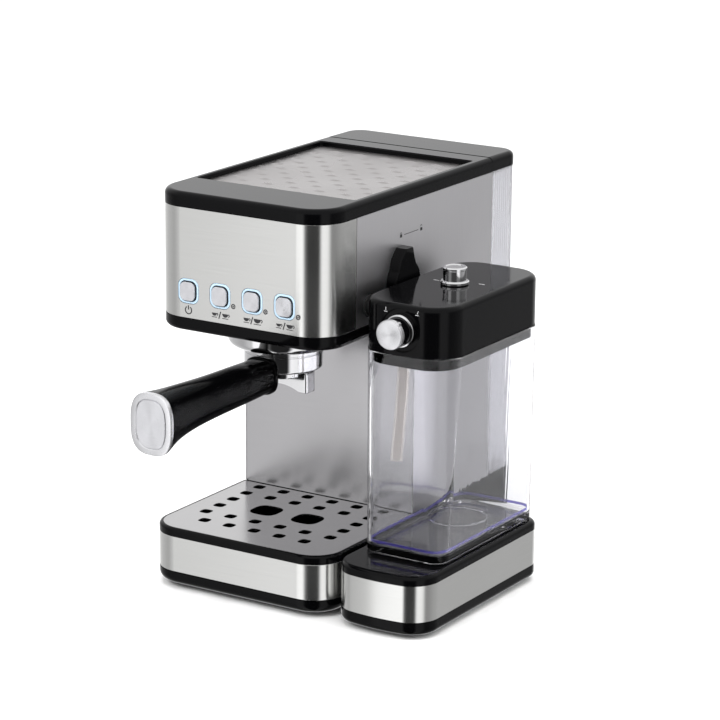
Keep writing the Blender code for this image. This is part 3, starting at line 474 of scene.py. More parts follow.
PUMP = moulded("pump_plastic", (0.3, 0.3, 0.28), 0.5)
BOARD = moulded("circuit_board", (0.03, 0.16, 0.07), 0.4, 400.0, 0.2)
HOSE = moulded("silicone", (0.7, 0.66, 0.6), 0.35, 300.0, 0.1)
INK = moulded("printed_marks", (0.02, 0.02, 0.022), 0.5)
PALE_INK = moulded("pale_marks", (0.62, 0.62, 0.63), 0.45)
JUG = clear("jug_clear", (0.88, 0.88, 0.9), 0.01, stretch=(260, 260, 5), strength=0.12, index=1.3)
TANK = clear("tank_clear", (0.74, 0.74, 0.77), 0.12, 0.8, (400, 400, 6), 0.2)
TUBE = clear("tube_clear", (0.86, 0.82, 0.79), 0.08, 0.75)
# Painted caustic light: a part-clear purple material that stands in for the edge light round the jug's floor
JUG_PAINTED_CAUSTIC = clear("jug_painted_caustic", (0.2, 0.17, 0.72), 0.05, 0.7)
BLUE_LIGHT = {"Emission_Color": (0.42, 0.7, 1, 1), "Emission_Strength": 0.06}
GLOW = moulded("halo_light", (0.5, 0.66, 0.8), 0.35, 600.0, 0.05, **BLUE_LIGHT)


# ---- head ----
head_low, head_high = span("head_front_panel")
frame_low, frame_high = span("top_frame")
HEAD_RADII = (HEAD_CORNER, HEAD_CORNER, 0, 0)
REAR_RADII = (0, 0, REAR_CORNER, REAR_CORNER)
TRAY_RADII = (TRAY_CORNER, TRAY_CORNER, 0, 0)


def make_top_frame():
    """Black top with a recess for the cup plate. Its rear edge is nearly square at the seam."""
    rear_share = 0.25
    profile = bottom_round(frame_low.z, 0.5, 3) + top_round(frame_high.z, EDGE, 12)
    top = slab("top_frame_shell", plan("top_frame"), HEAD_RADII, profile, (1, 1, rear_share, 1), 24)
    plate_low = span("cup_tray")[0]
    gap = 0.3
    funnel = [(0, plate_low.z - gap), (0, frame_high.z - 1.0)]
    funnel += [(-0.9, frame_high.z + 0.1), (-0.9, frame_high.z + 5)]
    recess = slab("recess_tool", plan("cup_tray", gap), (2.5,) * 4, funnel, steps=6)
    carve(top, recess)
    place(top, "machine", GLOSS, "gloss_black", "top_frame")


def make_cup_plate():
    """Steel plate pressed with staggered raised lozenges."""
    low, high = span("cup_tray")
    pitch_x, pitch_y = 23.0, 26.0
    dot_x, dot_y = 7.0, 3.4
    rise, cell, margin = 0.62, 0.8, 5.0
    columns, rows = round((high.x - low.x) / cell), round((high.y - low.y) / cell)

    def height(x, y):
        best = 0.0
        for shift in (0.0, 0.5):
            u = ((x - low.x) / pitch_x + shift) % 1.0 - 0.5
            v = ((y - low.y) / pitch_y + shift) % 1.0 - 0.5
            reach = math.hypot(u * pitch_x / dot_x, v * pitch_y / dot_y)
            if reach < 1:
                best = max(best, (1 + math.cos(math.pi * reach)) / 2)
        edge = min(x - low.x, high.x - x, y - low.y, high.y - y)
        return best * min(1.0, max(0.0, edge / margin - 0.2))

    points = []
    base = high.z - rise
    for j in range(rows + 1):
        for i in range(columns + 1):
            x = low.x + (high.x - low.x) * i / columns
            y = low.y + (high.y - low.y) * j / rows
            points.append((x, y, base + rise * height(x, y)))
    across = columns + 1
    faces = []
    for j in range(rows):
        for i in range(columns):
            a = j * across + i
            faces.append((a, a + 1, a + across + 1, a + across))
    plate = add_mesh("cup_plate", points, faces)
    thick = plate.modifiers.new("sheet", "SOLIDIFY")
    thick.thickness = (base - low.z) * MM
    thick.offset = -1
    bake(plate)
    place(plate, "machine", PLATE_STEEL, "brushed_steel", "cup_tray")


def button_names():
    return [body for body in frame["bodies"] if body.startswith("button_")]


def make_head_wrap():
    """Brushed sheet round the front of the head, with windows for the buttons' halos."""
    box = plan("head_front_panel")
    wrap = wrap_sheet("head_wrap", box, HEAD_CORNER, SHEET, head_low.z, head_high.z)
    soften(wrap, 0.25)
    windows = []
    for name in button_names():
        at = middle(name)
        gap = 0.6
        y0, y1 = head_low.y - 5, head_low.y + 5
        width, height = HALO + gap, HALO + gap + HALO_RISE
        windows.append(upright("window_" + name, at.x, at.z, width, height, y0, y1, 6.0))
    carve(wrap, *windows)
    place(wrap, "machine", STEEL, "brushed_steel", "head_front_panel")


def make_head_floor():
    low, high = span("head_floor")
    profile = bottom_round(low.z, 4.0, 10) + [(0, high.z)]
    floor = slab("head_floor_shell", plan("head_floor"), HEAD_RADII, profile, (1, 1, 0, 1), 24)
    at = middle("group_head")
    bore = 21
    carve(floor, rod("floor_bore", (at.x, at.y, 0), bore, low.z - 5, high.z + 5))
    place(floor, "machine", GLOSS, "gloss_black", "head_floor")


# ---- buttons and printed marks ----
def make_buttons():
    """Each button is a dark body with a spun cap, in a pale blue halo that glows faintly."""
    front = head_low.y
    for name in button_names():
        low, high = span(name)
        at = (low + high) / 2
        width, height = high.x - low.x, high.z - low.z
        body = upright(name + "_body", at.x, at.z, width, height, low.y + 0.7, high.y, 4.6, 0.3)
        place(body, name, MATT, "silver_cap", name)
        y1 = low.y + 0.65
        cap = upright(name + "_cap", at.x, at.z, width - 0.5, height - 0.5, low.y, y1, 4.5, 0.4)
        dish = spun(name + "_spun", (0.78, 0.78, 0.81), 0.26, (at.x, low.y, at.z))
        place(cap, name, dish, "silver_cap")
        y0, y1 = front - 0.15, front + 4.0
        ring = upright(name + "_halo", at.x, at.z, HALO, HALO + HALO_RISE, y0, y1, 5.7, 0.5)
        y0, y1 = front - 5, front + 9
        well = upright(name + "_well", at.x, at.z, width + 1.2, height + 1.2, y0, y1, 5.0)
        carve(ring, well)
        place(ring, "machine", GLOW, "light_guide")
    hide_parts("light_guide")


def face_front(name, flat, y, body, finish, slot):
    """A printed mark on a surface that faces the user: flat is its outline in x and z."""
    mark = skin(name, [[(u, y - depth, v) for u, v in flat] for depth in (0.0, MARK_DEPTH)])
    return place(mark, body, finish, slot)


def strip(points, width):
    """The outline of a stroke along open points."""
    left, right = [], []
    for k, (x, z) in enumerate(points):
        before, after = points[max(k - 1, 0)], points[min(k + 1, len(points) - 1)]
        dx, dz = after[0] - before[0], after[1] - before[1]
        size = math.hypot(dx, dz) or 1.0
        nx, nz = -dz / size * width / 2, dx / size * width / 2
        left.append((x + nx, z + nz))
        right.append((x - nx, z - nz))
    return left + right[::-1]


def arc(cx, cz, radius, start, end, steps=20):
    turns = [math.radians(start + (end - start) * i / steps) for i in range(steps + 1)]
    return [(cx + radius * math.cos(t), cz + radius * math.sin(t)) for t in turns]


def cup_shape(x, z, width):
    """A plain filled cup in side view, its rim at the top."""
    return arc(x, z + width * 0.3, width * 0.5, 180, 360, 14)


def cup_ring(x, z, width):
    """The handle at a cup's right side."""
    return strip(arc(x + width * 0.5, z + width * 0.1, width * 0.19, -80, 80, 8), 0.6)


def make_panel_marks():
    """Generic marks under the buttons: a power sign and plain cups, and a small lamp beside
    each drink button."""
    y = head_low.y - 0.02
    drop, stroke = 14.4, 0.8

    def mark(name, flat):
        face_front("mark_" + name, flat, y, "machine", INK, "matt_black")

    power = middle("button_power")
    x, z = power.x, power.z - drop
    mark("power_ring", strip(arc(x, z, 2.8, 122, 418), stroke))
    mark("power_stem", strip([(x, z + 0.4), (x, z + 3.6)], stroke))
    cups = {"espresso": (4.4, 5.2), "cappuccino": (4.8, 6.2), "latte": (4.2, 5.6)}
    for drink, widths in cups.items():
        at = middle("button_" + drink)
        z = at.z - drop
        for k, (width, side) in enumerate(zip(widths, (-5.0, 4.6))):
            x = at.x + side
            mark(f"{drink}_cup_{k}", cup_shape(x, z, width))
            mark(f"{drink}_handle_{k}", cup_ring(x, z, width))
            foot_z = z - width * 0.2 - 0.9
            mark(f"{drink}_saucer_{k}", strip([(x - width * 0.5, foot_z), (x + width * 0.5, foot_z)], 0.5))
        mark(f"{drink}_slash", strip([(at.x - 1.1, z - 2.6), (at.x + 0.6, z + 2.8)], 0.8))
        lamp_x, lamp_z = at.x + 11.8, at.z - 6.0
        mark(f"{drink}_lamp", strip(arc(lamp_x, lamp_z, 1.5, 0, 350), 0.8))
        mark(f"{drink}_lamp_core", arc(lamp_x, lamp_z, 0.6, 0, 330, 10))


def make_side_marks():
    """A closed and an open padlock, joined by a line, on the right side panel."""
    axis = axis_place("lock_lever_turn")
    x = span("side_panel_right")[1].x
    up, across = 35.2, 29.0
    y0, z0 = axis.y + 2.8, axis.z + up

    def mark(name, flat):
        rings = [[(x + depth, u, v) for u, v in flat] for depth in (0.0, MARK_DEPTH)]
        place(skin(name, rings), "machine", INK, "matt_black")

    for name, y, lift in (("closed", y0, 0.0), ("open", y0 + across, 0.8)):
        mark(f"mark_lock_{name}_body", outline((y - 1.4, z0 - 2.4, y + 1.4, z0), 0, (0.4,) * 4))
        mark(f"mark_lock_{name}_bow", strip(arc(y, z0 + 0.2 + lift, 1.0, 0, 180), 0.4))
    mark("mark_lock_line", strip([(y0 + 4.5, z0 - 1), (y0 + across - 4.5, z0 - 1)], 0.45))


# ---- lever ----
def make_lever():
    """Broad pointer over a turned hub, with eased edges."""
    low, high = span("lock_lever")
    axis = axis_place("lock_lever_turn")
    inner, outer = axis.x + 0.3, high.x
    radius = (high.y - low.y) / 2
    centre = (0, axis.y, axis.z)
    profile = [(radius, inner), (radius, outer - 1.5), (radius - 0.5, outer - 0.5), (radius - 1.5, outer)]
    hub = turned("lever_hub", centre, profile, "X")
    rise = high.z - axis.z
    reach = radius - 0.6
    sections = (  # (above the axis, reach to the front, reach to the rear, edge rounding)
        (0.0, reach, reach, 1.6),
        (rise - 8.0, 11.5, 8.8, 1.6),
        (rise - 0.8, 4.8, 6.6, 1.6),
        (rise, 4.0, 5.8, 1.6),
    )
    rings = []
    for up, front, rear, corner in sections:
        flat = outline((inner, axis.y - front, outer, axis.y + rear), 0, (0, corner, corner, 0), steps=4)
        rings.append([(x, y, axis.z + up) for x, y in flat])
    pointer = skin("lever_pointer", rings)
    shaft = rod("lever_shaft", centre, 3.9, low.x, inner + 1, "X")
    fuse(hub, pointer, shaft)
    hub.name = "lever"
    place(hub, "lock_lever", GLOSS, "gloss_black", "lock_lever")


# ---- brewing group ----
def make_group():
    low, high = span("group_head")
    at = middle("group_head")
    radius = (high.x - low.x) / 2
    centre = (at.x, at.y, 0)
    corner = 5.5
    throat, mouth, groove, ceiling = 19, 27.3, 30.8, high.z - 1.1
    entry_reach, entry_half = 31, 9.6
    groove_low, groove_high = low.z + 2.3, low.z + 7.9
    profile = [(radius - inset, z) for inset, z in bottom_round(low.z, corner, 10)]
    profile += [(radius, high.z), (throat, high.z), (throat, ceiling), (mouth, ceiling), (mouth, groove_high)]
    profile += [(groove, groove_high), (groove, groove_low), (mouth, groove_low), (mouth, low.z)]
    ring = turned("group_ring", centre, profile, loop=True)
    corners = [(k * entry_reach, k * entry_half, low.z + 5 * k) for k in (-1, 1)]
    entries = cuboid("entries_tool", *corners)
    turn = Matrix.Rotation(math.radians(-45), 4, "Z")
    entries.data.transform(Matrix.Translation(Vector(centre) * MM) @ turn)
    carve(ring, entries)
    place(ring, "machine", CHROME, "chrome", "group_head")


def make_portafilter():
    low, high = span("portafilter_bowl")
    at = axis_place("portafilter_twist")
    centre = (at.x, at.y, 0)
    radius, inside, lip, outlet = (high.x - low.x) / 2, 25.3, 26.8, 4
    ear_reach, ear_half = 29.2, 8
    top = at.z
    profile = [(radius - inset, z) for inset, z in bottom_round(low.z, 2.0, 6)]
    profile += [(radius, top - 5.2), (radius - 0.5, top - 4.8), (radius - 0.5, top - 4.2)]
    profile += [(radius, top - 3.8), (radius, top - 0.8), (radius - 0.8, top), (lip, top), (lip, high.z)]
    profile += [(inside, high.z), (inside, low.z + 3), (outlet, low.z + 3), (outlet, low.z)]
    bowl = turned("bowl", centre, profile, loop=True)
    ear_low = (at.x - ear_reach, at.y - ear_half, top + 3)
    ear_high = (at.x + ear_reach, at.y + ear_half, top + 6)
    ears = cuboid("bowl_ears", ear_low, ear_high, 0.4)
    hollow = rod("ear_bore", centre, 26.0, top, top + 9)
    carve(ears, hollow)
    place(bowl, "portafilter", CHROME, "chrome", "portafilter_bowl")
    place(ears, "portafilter", CHROME, "chrome")
    stub = rod("handle_stub", (at.x, 0, STUB_Z), STUB_R, low.y, at.y - 26, "Y")
    place(stub, "portafilter", CHROME, "chrome")
    make_spout()
    make_handle()


def make_spout():
    """Twin spout: a bar under the bowl, arched between its two mouths."""
    low, high = span("portafilter_spout")
    at = middle("portafilter_spout")
    box = (low.x, at.y - 6.2, high.x, at.y + 6.2)
    profile = bottom_round(low.z, 0.6, 3) + top_round(high.z, 3.0, 8)
    body = slab("spout_body", box, (1.8,) * 4, profile, steps=6)
    hub_z = low.z + 10.4
    profile = [(15.4, hub_z), (17.4, hub_z + 0.7), (18, hub_z + 2), (18, high.z)]
    hub = turned("spout_hub", (at.x, at.y, 0), profile)
    arch_radius, arch_drop = 39.0, 34.3
    centre = (at.x, 0, low.z - arch_drop)
    arch = rod("spout_arch", centre, arch_radius, low.y - 5, high.y + 5, "Y", steps=160)
    fuse(body, hub)
    channel_radius, channel_x = 2.2, 21.6
    channels = [
        rod(f"spout_channel_{k}", (x, at.y, 0), channel_radius, low.z - 5, low.z + 7, steps=32)
        for k, x in enumerate((at.x - channel_x, at.x + channel_x))
    ]
    carve(body, arch, *channels)
    place(body, "portafilter", CHROME, "chrome", "portafilter_spout")


def oval(x, y, z, width, height, power=2.8, count=64):
    """A rounded-rectangle section that faces along Y."""
    points = []
    for i in range(count):
        angle = 2 * math.pi * i / count
        c, s = math.cos(angle), math.sin(angle)
        u = width / 2 * math.copysign(abs(c) ** (2 / power), c)
        v = height / 2 * math.copysign(abs(s) ** (2 / power), s)
        points.append((x + u, y, z + v))
    return points


def smooth_rows(stations, steps=6):
    """Catmull-Rom rows between the given ones, for every number in them."""
    first = [2 * a - b for a, b in zip(stations[0], stations[1])]
    last = [2 * a - b for a, b in zip(stations[-1], stations[-2])]
    rows = [first, *stations, last]
    out = []
    for four in zip(rows, rows[1:], rows[2:], rows[3:]):
        for i in range(steps):
            t = i / steps
            row = []
            for a, b, c, d in zip(*four):
                bend = 2 * b + (c - a) * t + (2 * a - 5 * b + 4 * c - d) * t * t
                row.append((bend + (3 * b - a - 3 * c + d) * t**3) / 2)
            out.append(row)
    return out + [list(stations[-1])]


def make_handle():
    """Handle with a collar by the bowl, flared to the front, where a spun cap closes it."""
    low, high = span("portafilter_handle")
    cap_low, cap_high = span("handle_cap")
    at = middle("handle_cap")
    front, root = low.y, high.y
    flare = cap_high - cap_low
    stations = (  # (from the front, width, height, middle above the cap's)
        (0.0, flare.x, flare.z, 0.0),
        (17.2, 30.2, 38.8, 2.0),
        (40.2, 26.8, 34.0, 3.1),
        (70.2, 25.6, 30.6, 3.3),
        (110.2, 25.6, 28.2, 3.4),
        (133.2, 26.0, 26.2, 3.6),
        (root - front, 26.0, 25.8, 3.6),
    )
    # (before the root, rise)
    collar = ((5.4, 0.0), (5.0, 0.9), (4.4, 1.3), (1.6, 1.3), (1.0, 0.9), (0.6, 0.0))
    length = root - front
    rows = [row for row in smooth_rows(stations) if row[0] < length - 6]
    rows += [(length - back, 26.0 + 2 * rise, 25.9 + 2 * rise, 3.6) for back, rise in collar]
    rows.append(stations[-1])
    rings = [oval(at.x, front + along, at.z + up, width, height) for along, width, height, up in rows]
    handle = skin("handle_grip", rings, angle=35)
    centre = axis_place("portafilter_twist")
    bowl_fit = 30.2
    saddle = rod("saddle_tool", (centre.x, centre.y, 0), bowl_fit, 130, 210)
    stub = rod("stub_tool", (at.x, 0, STUB_Z), STUB_R + 0.3, front + 100, root + 20, "Y")
    carve(handle, saddle, stub)
    place(handle, "portafilter", HANDLE_BLACK, "gloss_black", "portafilter_handle")
    make_handle_cap(at)


def make_handle_cap(at):
    """Bright rim round a spun inset face, and a thin bright line behind it."""
    low, high = span("handle_cap")
    width, height = high.x - low.x, high.z - low.z
    front, rear = low.y, high.y
    rim = [(rear, 0.0), (front + 1.0, 0.0), (front + 0.3, 0.35), (front, 1.2)]
    rings = [oval(at.x, y, at.z, width - 2 * drop, height - 2 * drop) for y, drop in rim]
    rings += [oval(at.x, front, at.z, width - 9.0, height - 9.0)]
    rings += [oval(at.x, front + 0.7, at.z, width - 10.4, height - 10.4)]
    cap = skin("handle_cap_rim", rings)
    bright = polished("cap_rim_metal", (0.78, 0.78, 0.8), 0.22)
    place(cap, "portafilter", bright, "silver_cap", "handle_cap")
    face_rings = [
        oval(at.x, y, at.z, width - shrink, height - shrink)
        for y, shrink in ((front + 0.65, 11.0), (front + 0.25, 11.0), (front + 0.12, 11.5))
    ]
    dish = spun("cap_spun", (0.84, 0.84, 0.87), 0.26, (at.x, front, at.z))
    place(skin("handle_cap_face", face_rings), "portafilter", dish, "silver_cap")


# ---- base and drip tray ----
def make_base():
    low, high = span("base_plate")
    house_low, house_high = span("base_housing")
    front_box = (low.x, low.y, high.x, house_low.y)
    profile = bottom_round(low.z, 6.5, 10) + [(0, high.z)]
    rear_box = (house_low.x, house_low.y - 5, house_high.x, house_high.y)
    plate = slab("base_shell", front_box, TRAY_RADII, profile, (1, 1, 0, 1), 24)
    fuse(plate, slab("base_rear", rear_box, REAR_RADII, profile, (0, 1, 1, 1), 20))
    place(plate, "machine", GLOSS, "gloss_black", "base_plate")

    wall = 3.0
    shell = [(wall, house_high.z - wall), (wall, house_low.z), (0, house_low.z)]
    shell += top_round(house_high.z, 0.6, 3)
    housing = slab("housing_shell", plan("base_housing"), REAR_RADII, shell, steps=20)
    gland = middle("cord_gland")
    seat = middle("tank_seat")
    gland_bore, seat_bore = 5.4, 9.0
    holes = [
        rod("gland_tool", (gland.x, 0, gland.z), gland_bore, house_high.y - 10, house_high.y + 10, "Y"),
        rod("seat_tool", (seat.x, seat.y, 0), seat_bore, 40, 60),
    ]
    carve(housing, *holes)
    place(housing, "machine", GLOSS, "gloss_black", "base_housing")

    gland_low, gland_high = span("cord_gland")
    rear_face = house_high.y + 0.3
    centre = (gland.x, 0, gland.z)
    profile = [(3.2, gland_low.y), (5.0, gland_low.y), (5.0, rear_face), (7.0, rear_face)]
    profile += [(7.0, gland_high.y - 1.2), (6.4, gland_high.y - 0.3)]
    profile += [(5.6, gland_high.y), (3.2, gland_high.y)]
    place(turned("gland", centre, profile, "Y", loop=True), "machine", MATT, "matt_black", "cord_gland")


def make_feet():
    for node in frame["nodes"]:
        if not node.startswith("foot_"):
            continue
        low, high = span(node)
        at = (low + high) / 2
        radius = (high.x - low.x) / 2
        profile = [(radius - inset, z) for inset, z in bottom_round(low.z, 0.8, 4)]
        profile += [(radius, high.z - 0.5), (radius - 0.5, high.z)]
        foot = turned(node + "_pad", (at.x, at.y, 0), profile, steps=48)
        place(foot, "machine", RUBBER, "rubber", node)


def make_drip_tray():
    low, high = span("drip_tray")
    band_low, band_high = span("drip_band")
    box = plan("drip_tray")
    skirt = 0.9
    profile = [(skirt, low.z), (skirt, band_high.z + 0.3), (0, band_high.z + 0.3)]
    profile += top_round(high.z, 2.6, 10)
    tray = slab("tray_shell", box, TRAY_RADII, profile, (1, 1, 0, 1), 24)
    grid_low = span("drip_grid")[0]
    gap, wall = 0.3, 3.4
    corner = grid_corner(low, grid_low) + gap
    pool = [(wall, low.z + 2.8), (wall, 42.5)]
    pool_radii = (TRAY_CORNER, TRAY_CORNER, wall + 2, wall + 2)
    seat = [(0, grid_low.z - gap), (0, high.z + 5)]
    neck_box = (low.x + 11.1, low.y + 12.3, high.x - 11.1, high.y - 4)
    tools = [
        slab("seat_tool", plan("drip_grid", gap), (corner, corner, 3, 3), seat, steps=20),
        slab("neck_tool", neck_box, (14, 14, 2, 2), [(0, 38), (0, high.z + 5)]),
        slab("pool_tool", box, pool_radii, pool),
    ]
    carve(tray, *tools)
    place(tray, "drip_tray", GLOSS, "gloss_black", "drip_tray")

    band = wrap_sheet("tray_band", plan("drip_band"), TRAY_CORNER, 0.6, band_low.z, band_high.z)
    soften(band, 0.2)
    place(band, "drip_tray", STEEL, "brushed_steel", "drip_band")


def grid_corner(tray_low, grid_low):
    """The grid's front corners run parallel to the tray's."""
    return TRAY_CORNER - (grid_low.x - tray_low.x)


def make_drip_grid():
    """Steel plate with staggered holes, their edges pressed round."""
    low, high = span("drip_grid")
    tray_low = span("drip_tray")[0]
    corner = grid_corner(tray_low, low)
    profile = [(0, low.z), (0, high.z - 0.4), (0.12, high.z - 0.12), (0.4, high.z)]
    grid = slab("grid_plate", plan("drip_grid"), (corner, corner, 2.7, 2.7), profile, steps=20)
    spout = middle("portafilter_spout")
    tools = []
    for k, (x, y, size) in enumerate(grid_holes(spout)):
        flat = oval(x, 0, y, size, size, 3.4 if size < 10 else 3.0, 40)
        rings = [[(u, v, z) for u, _, v in flat] for z in (low.z - 5, high.z + 5)]
        tools.append(skin(f"hole_tool_{k}", rings))
    carve(grid, *tools)
    soften(grid, 0.22)
    bake(grid)
    place(grid, "drip_grid", GRID_STEEL, "brushed_steel", "drip_grid")


def grid_holes(spout):
    """Small holes on a staggered grid round two large ones under the spouts."""
    small, large = 9.0, 23.0
    pitch_x, pitch_y = 22.6, 18.2
    first_x, first_y = spout.x - 57.4, spout.y - 20.2
    holes = [(spout.x - 19.9, spout.y + 6.8, large), (spout.x + 17.6, spout.y + 6.8, large)]
    for row in range(5):
        columns = (0, 5) if row in (1, 2) else range(6)
        holes += [(first_x + pitch_x * c, first_y + pitch_y * row, small) for c in columns]
    holes += [(first_x + pitch_x * (c + 0.5), first_y - pitch_y, small) for c in range(5)]
    return holes


# ---- water tank ----
def make_water_tank():
    """Clear tank with fine upright ribs moulded into its walls."""
    low, high = span("water_tank")
    box = plan("water_tank")
    wall, rib, pitch = 2.4, 0.45, 3.2

    def ribbed(z):
        flat = outline(box, 0, REAR_RADII, steps=12)
        points, travelled = [], 0.0
        for a, b in zip(flat, flat[1:] + flat[:1]):
            run = math.dist(a, b)
            count = max(1, round(run / (pitch / 4)))
            for i in range(count):
                t = i / count
                depth = rib * (1 - math.cos(2 * math.pi * (travelled + run * t) / pitch)) / 2
                nx, ny = (a[1] - b[1]) / run, (b[0] - a[0]) / run
                x, y = a[0] + (b[0] - a[0]) * t, a[1] + (b[1] - a[1]) * t
                points.append((x + nx * depth, y + ny * depth, z))
            travelled += run
        return points

    tank = skin("tank_shell", [ribbed(low.z), ribbed(high.z)], angle=60)
    hollow = slab("tank_hollow", box, REAR_RADII, [(wall, low.z + 2.6), (wall, high.z + 5)], steps=12)
    seat = middle("tank_valve")
    outlet = rod("outlet_tool", (seat.x, seat.y, 0), 5.2, low.z - 5, low.z + 8, steps=48)
    carve(tank, hollow, outlet)
    place(tank, "water_tank", TANK, "clear_plastic", "water_tank")


def make_tank_lid():
    low, high = span("water_tank_lid")
    seam_share = 0.25
    top_z = frame_low.z
    profile = bottom_round(top_z, 0.4, 3) + top_round(high.z, EDGE, 12)
    lid = slab("tank_lid_shell", plan("water_tank_lid"), REAR_RADII, profile, (seam_share, 1, 1, 1), 20)
    lip_box = (low.x + 3.5, low.y + 3.5, high.x - 3.5, high.y - 3.7)
    lip = slab("lid_lip", lip_box, (0, 0, 11, 11), [(0, low.z), (0, top_z + 1)], steps=12)
    hollow = slab("lid_hollow", lip_box, (0, 0, 11, 11), [(2, low.z - 5), (2, high.z - 3)], steps=12)
    fuse(lid, lip)
    carve(lid, hollow)
    place(lid, "water_tank_lid", GLOSS, "gloss_black", "water_tank_lid")


# ---- milk side ----
def milk_box():
    low, high = span("milk_base_band")
    return (low.x, low.y + MILK_BULGE, high.x, high.y)


def make_milk_base():
    low, high = span("milk_base")
    band_low, band_high = span("milk_base_band")
    box = milk_box()
    radii = (MILK_CORNER, MILK_CORNER, REAR_CORNER, REAR_CORNER)
    thickness = 0.6

    def section(inset):
        return outline(box, inset, radii, steps=20, bulge=MILK_BULGE)

    skirt = thickness + 0.3
    wall, roof = 5.5, 3.0
    profile = [(wall, high.z - roof), (wall, low.z)]
    profile += bottom_round(low.z, 4.5, 10)[2:]
    profile += [(0, band_low.z - 0.3), (skirt, band_low.z - 0.3), (skirt, band_high.z + 0.3)]
    profile += [(0, band_high.z + 0.3)] + top_round(high.z, 3.6, 10)
    base = prism("milk_base_shell", section, profile)
    front, rear, foot, crest = 43, 75, 16, 34
    bridge = cuboid("bridge_tool", (low.x, front, foot), (box[0] + 3, rear, crest), 0.6)
    fuse(base, bridge)
    place(base, "machine", GLOSS, "gloss_black", "milk_base")

    rings = [(0, band_low.z), (0, band_high.z), (thickness, band_high.z), (thickness, band_low.z)]
    band = prism("milk_band", section, rings, loop=True)
    gap = 0.4
    notch_low = (low.x - 1, front - gap, foot - gap)
    notch = cuboid("notch_tool", notch_low, (box[0] + 3.5, rear + gap, crest + gap))
    carve(band, notch)
    place(band, "machine", STEEL, "brushed_steel", "milk_base_band")


def jug_section(z, inset=0.0):
    """The drafted outline of the milk tank at a height."""
    low, high = span("milk_tank")
    t = (z - low.z) / (high.z - low.z)
    draft = 4.2 * (1 - t)
    box = (low.x + draft, low.y + draft, high.x - draft, high.y - draft)
    corner = JUG_CORNER_LOW + (JUG_CORNER_HIGH - JUG_CORNER_LOW) * t
    return [(x, y, z) for x, y in outline(box, inset, (corner,) * 4, steps=20)]


def make_jug():
    low, high = span("milk_tank")
    wall, floor = 2.4, 4.0
    outer = [(inset, z) for inset, z in bottom_round(low.z, 1.5, 5)] + [(0, low.z + 60)]
    outer += top_round(high.z, 0.8, 4)
    inner = [(wall - 0.8, high.z), (wall, high.z - 0.9), (wall, low.z + 60)]
    for k, rise in enumerate((0.0, 0.45, 1.2, 3.0)):
        inner.append((wall + rise, low.z + floor + 3 - 3 * math.sin(math.pi / 6 * k)))
    rings = [jug_section(z, inset) for inset, z in outer + inner]
    place(skin("jug", rings, angle=50), "milk_tank", JUG, "clear_plastic", "milk_tank")

    # A thin band inside the wall just above the floor, in the purple material: painted caustic light along
    # the jug's floor edge
    inset = wall + 0.25
    z = low.z + floor
    foot, crest, depth = z + 3.6, z + 5.4, 0.8
    corners = ((inset, foot), (inset, crest), (inset + depth, crest), (inset + depth, foot))
    edge = [jug_section(height, back) for back, height in corners]
    place(skin("jug_edge", edge, loop=True), "milk_tank", JUG_PAINTED_CAUSTIC, "clear_plastic")

    centre = (low.x + 29.3, low.y + 100.2, z + 0.05)
    rim = ((0.7, 0.02), (0.7, 0.9), (0.3, 1.2), (-0.3, 1.2), (-0.7, 0.9), (-0.7, 0.02))
    ring = [(22.0 + out, up) for out, up in rim]
    place(turned("jug_floor_ring", centre, ring, loop=True), "milk_tank", JUG, "clear_plastic")


def make_milk_lid():
    low, high = span("milk_lid")
    jug_high = span("milk_tank")[1]
    box = plan("milk_lid")
    corner = JUG_CORNER_HIGH - 0.5
    seam_z = jug_high.z + 0.3
    skirt = 3.2

    def section(inset):
        return outline(box, inset, (corner,) * 4, steps=24)

    profile = [(skirt, low.z), (skirt, seam_z)] + bottom_round(seam_z, 0.3, 2)
    profile += top_round(high.z, EDGE, 12)
    lid = prism("lid_shell", section, profile)
    froth = axis_place("froth_knob_turn")
    top = axis_place("top_knob_turn")
    face = low.y
    inside = skirt + 2.6
    recess = [(16.6, face - 5), (16.2, face), (15.6, face + 1.3)]
    tools = [
        prism("lid_hollow_tool", section, [(inside, low.z - 5), (inside, high.z - 3)]),
        turned("recess_tool", (froth.x, 0, froth.z), recess, "Y"),
        rod("froth_tool", (froth.x, 0, froth.z), 4.2, face - 5, face + 12, "Y"),
        rod("top_tool", (top.x, top.y, 0), 4.0, high.z - 10, high.z + 5),
    ]
    nozzle = middle("milk_nozzle")
    tools.append(rod("nozzle_tool", (0, nozzle.y, nozzle.z), 5.2, low.x - 5, low.x + 12, "X"))
    carve(lid, *tools)
    place(lid, "milk_lid", GLOSS, "gloss_black", "milk_lid")


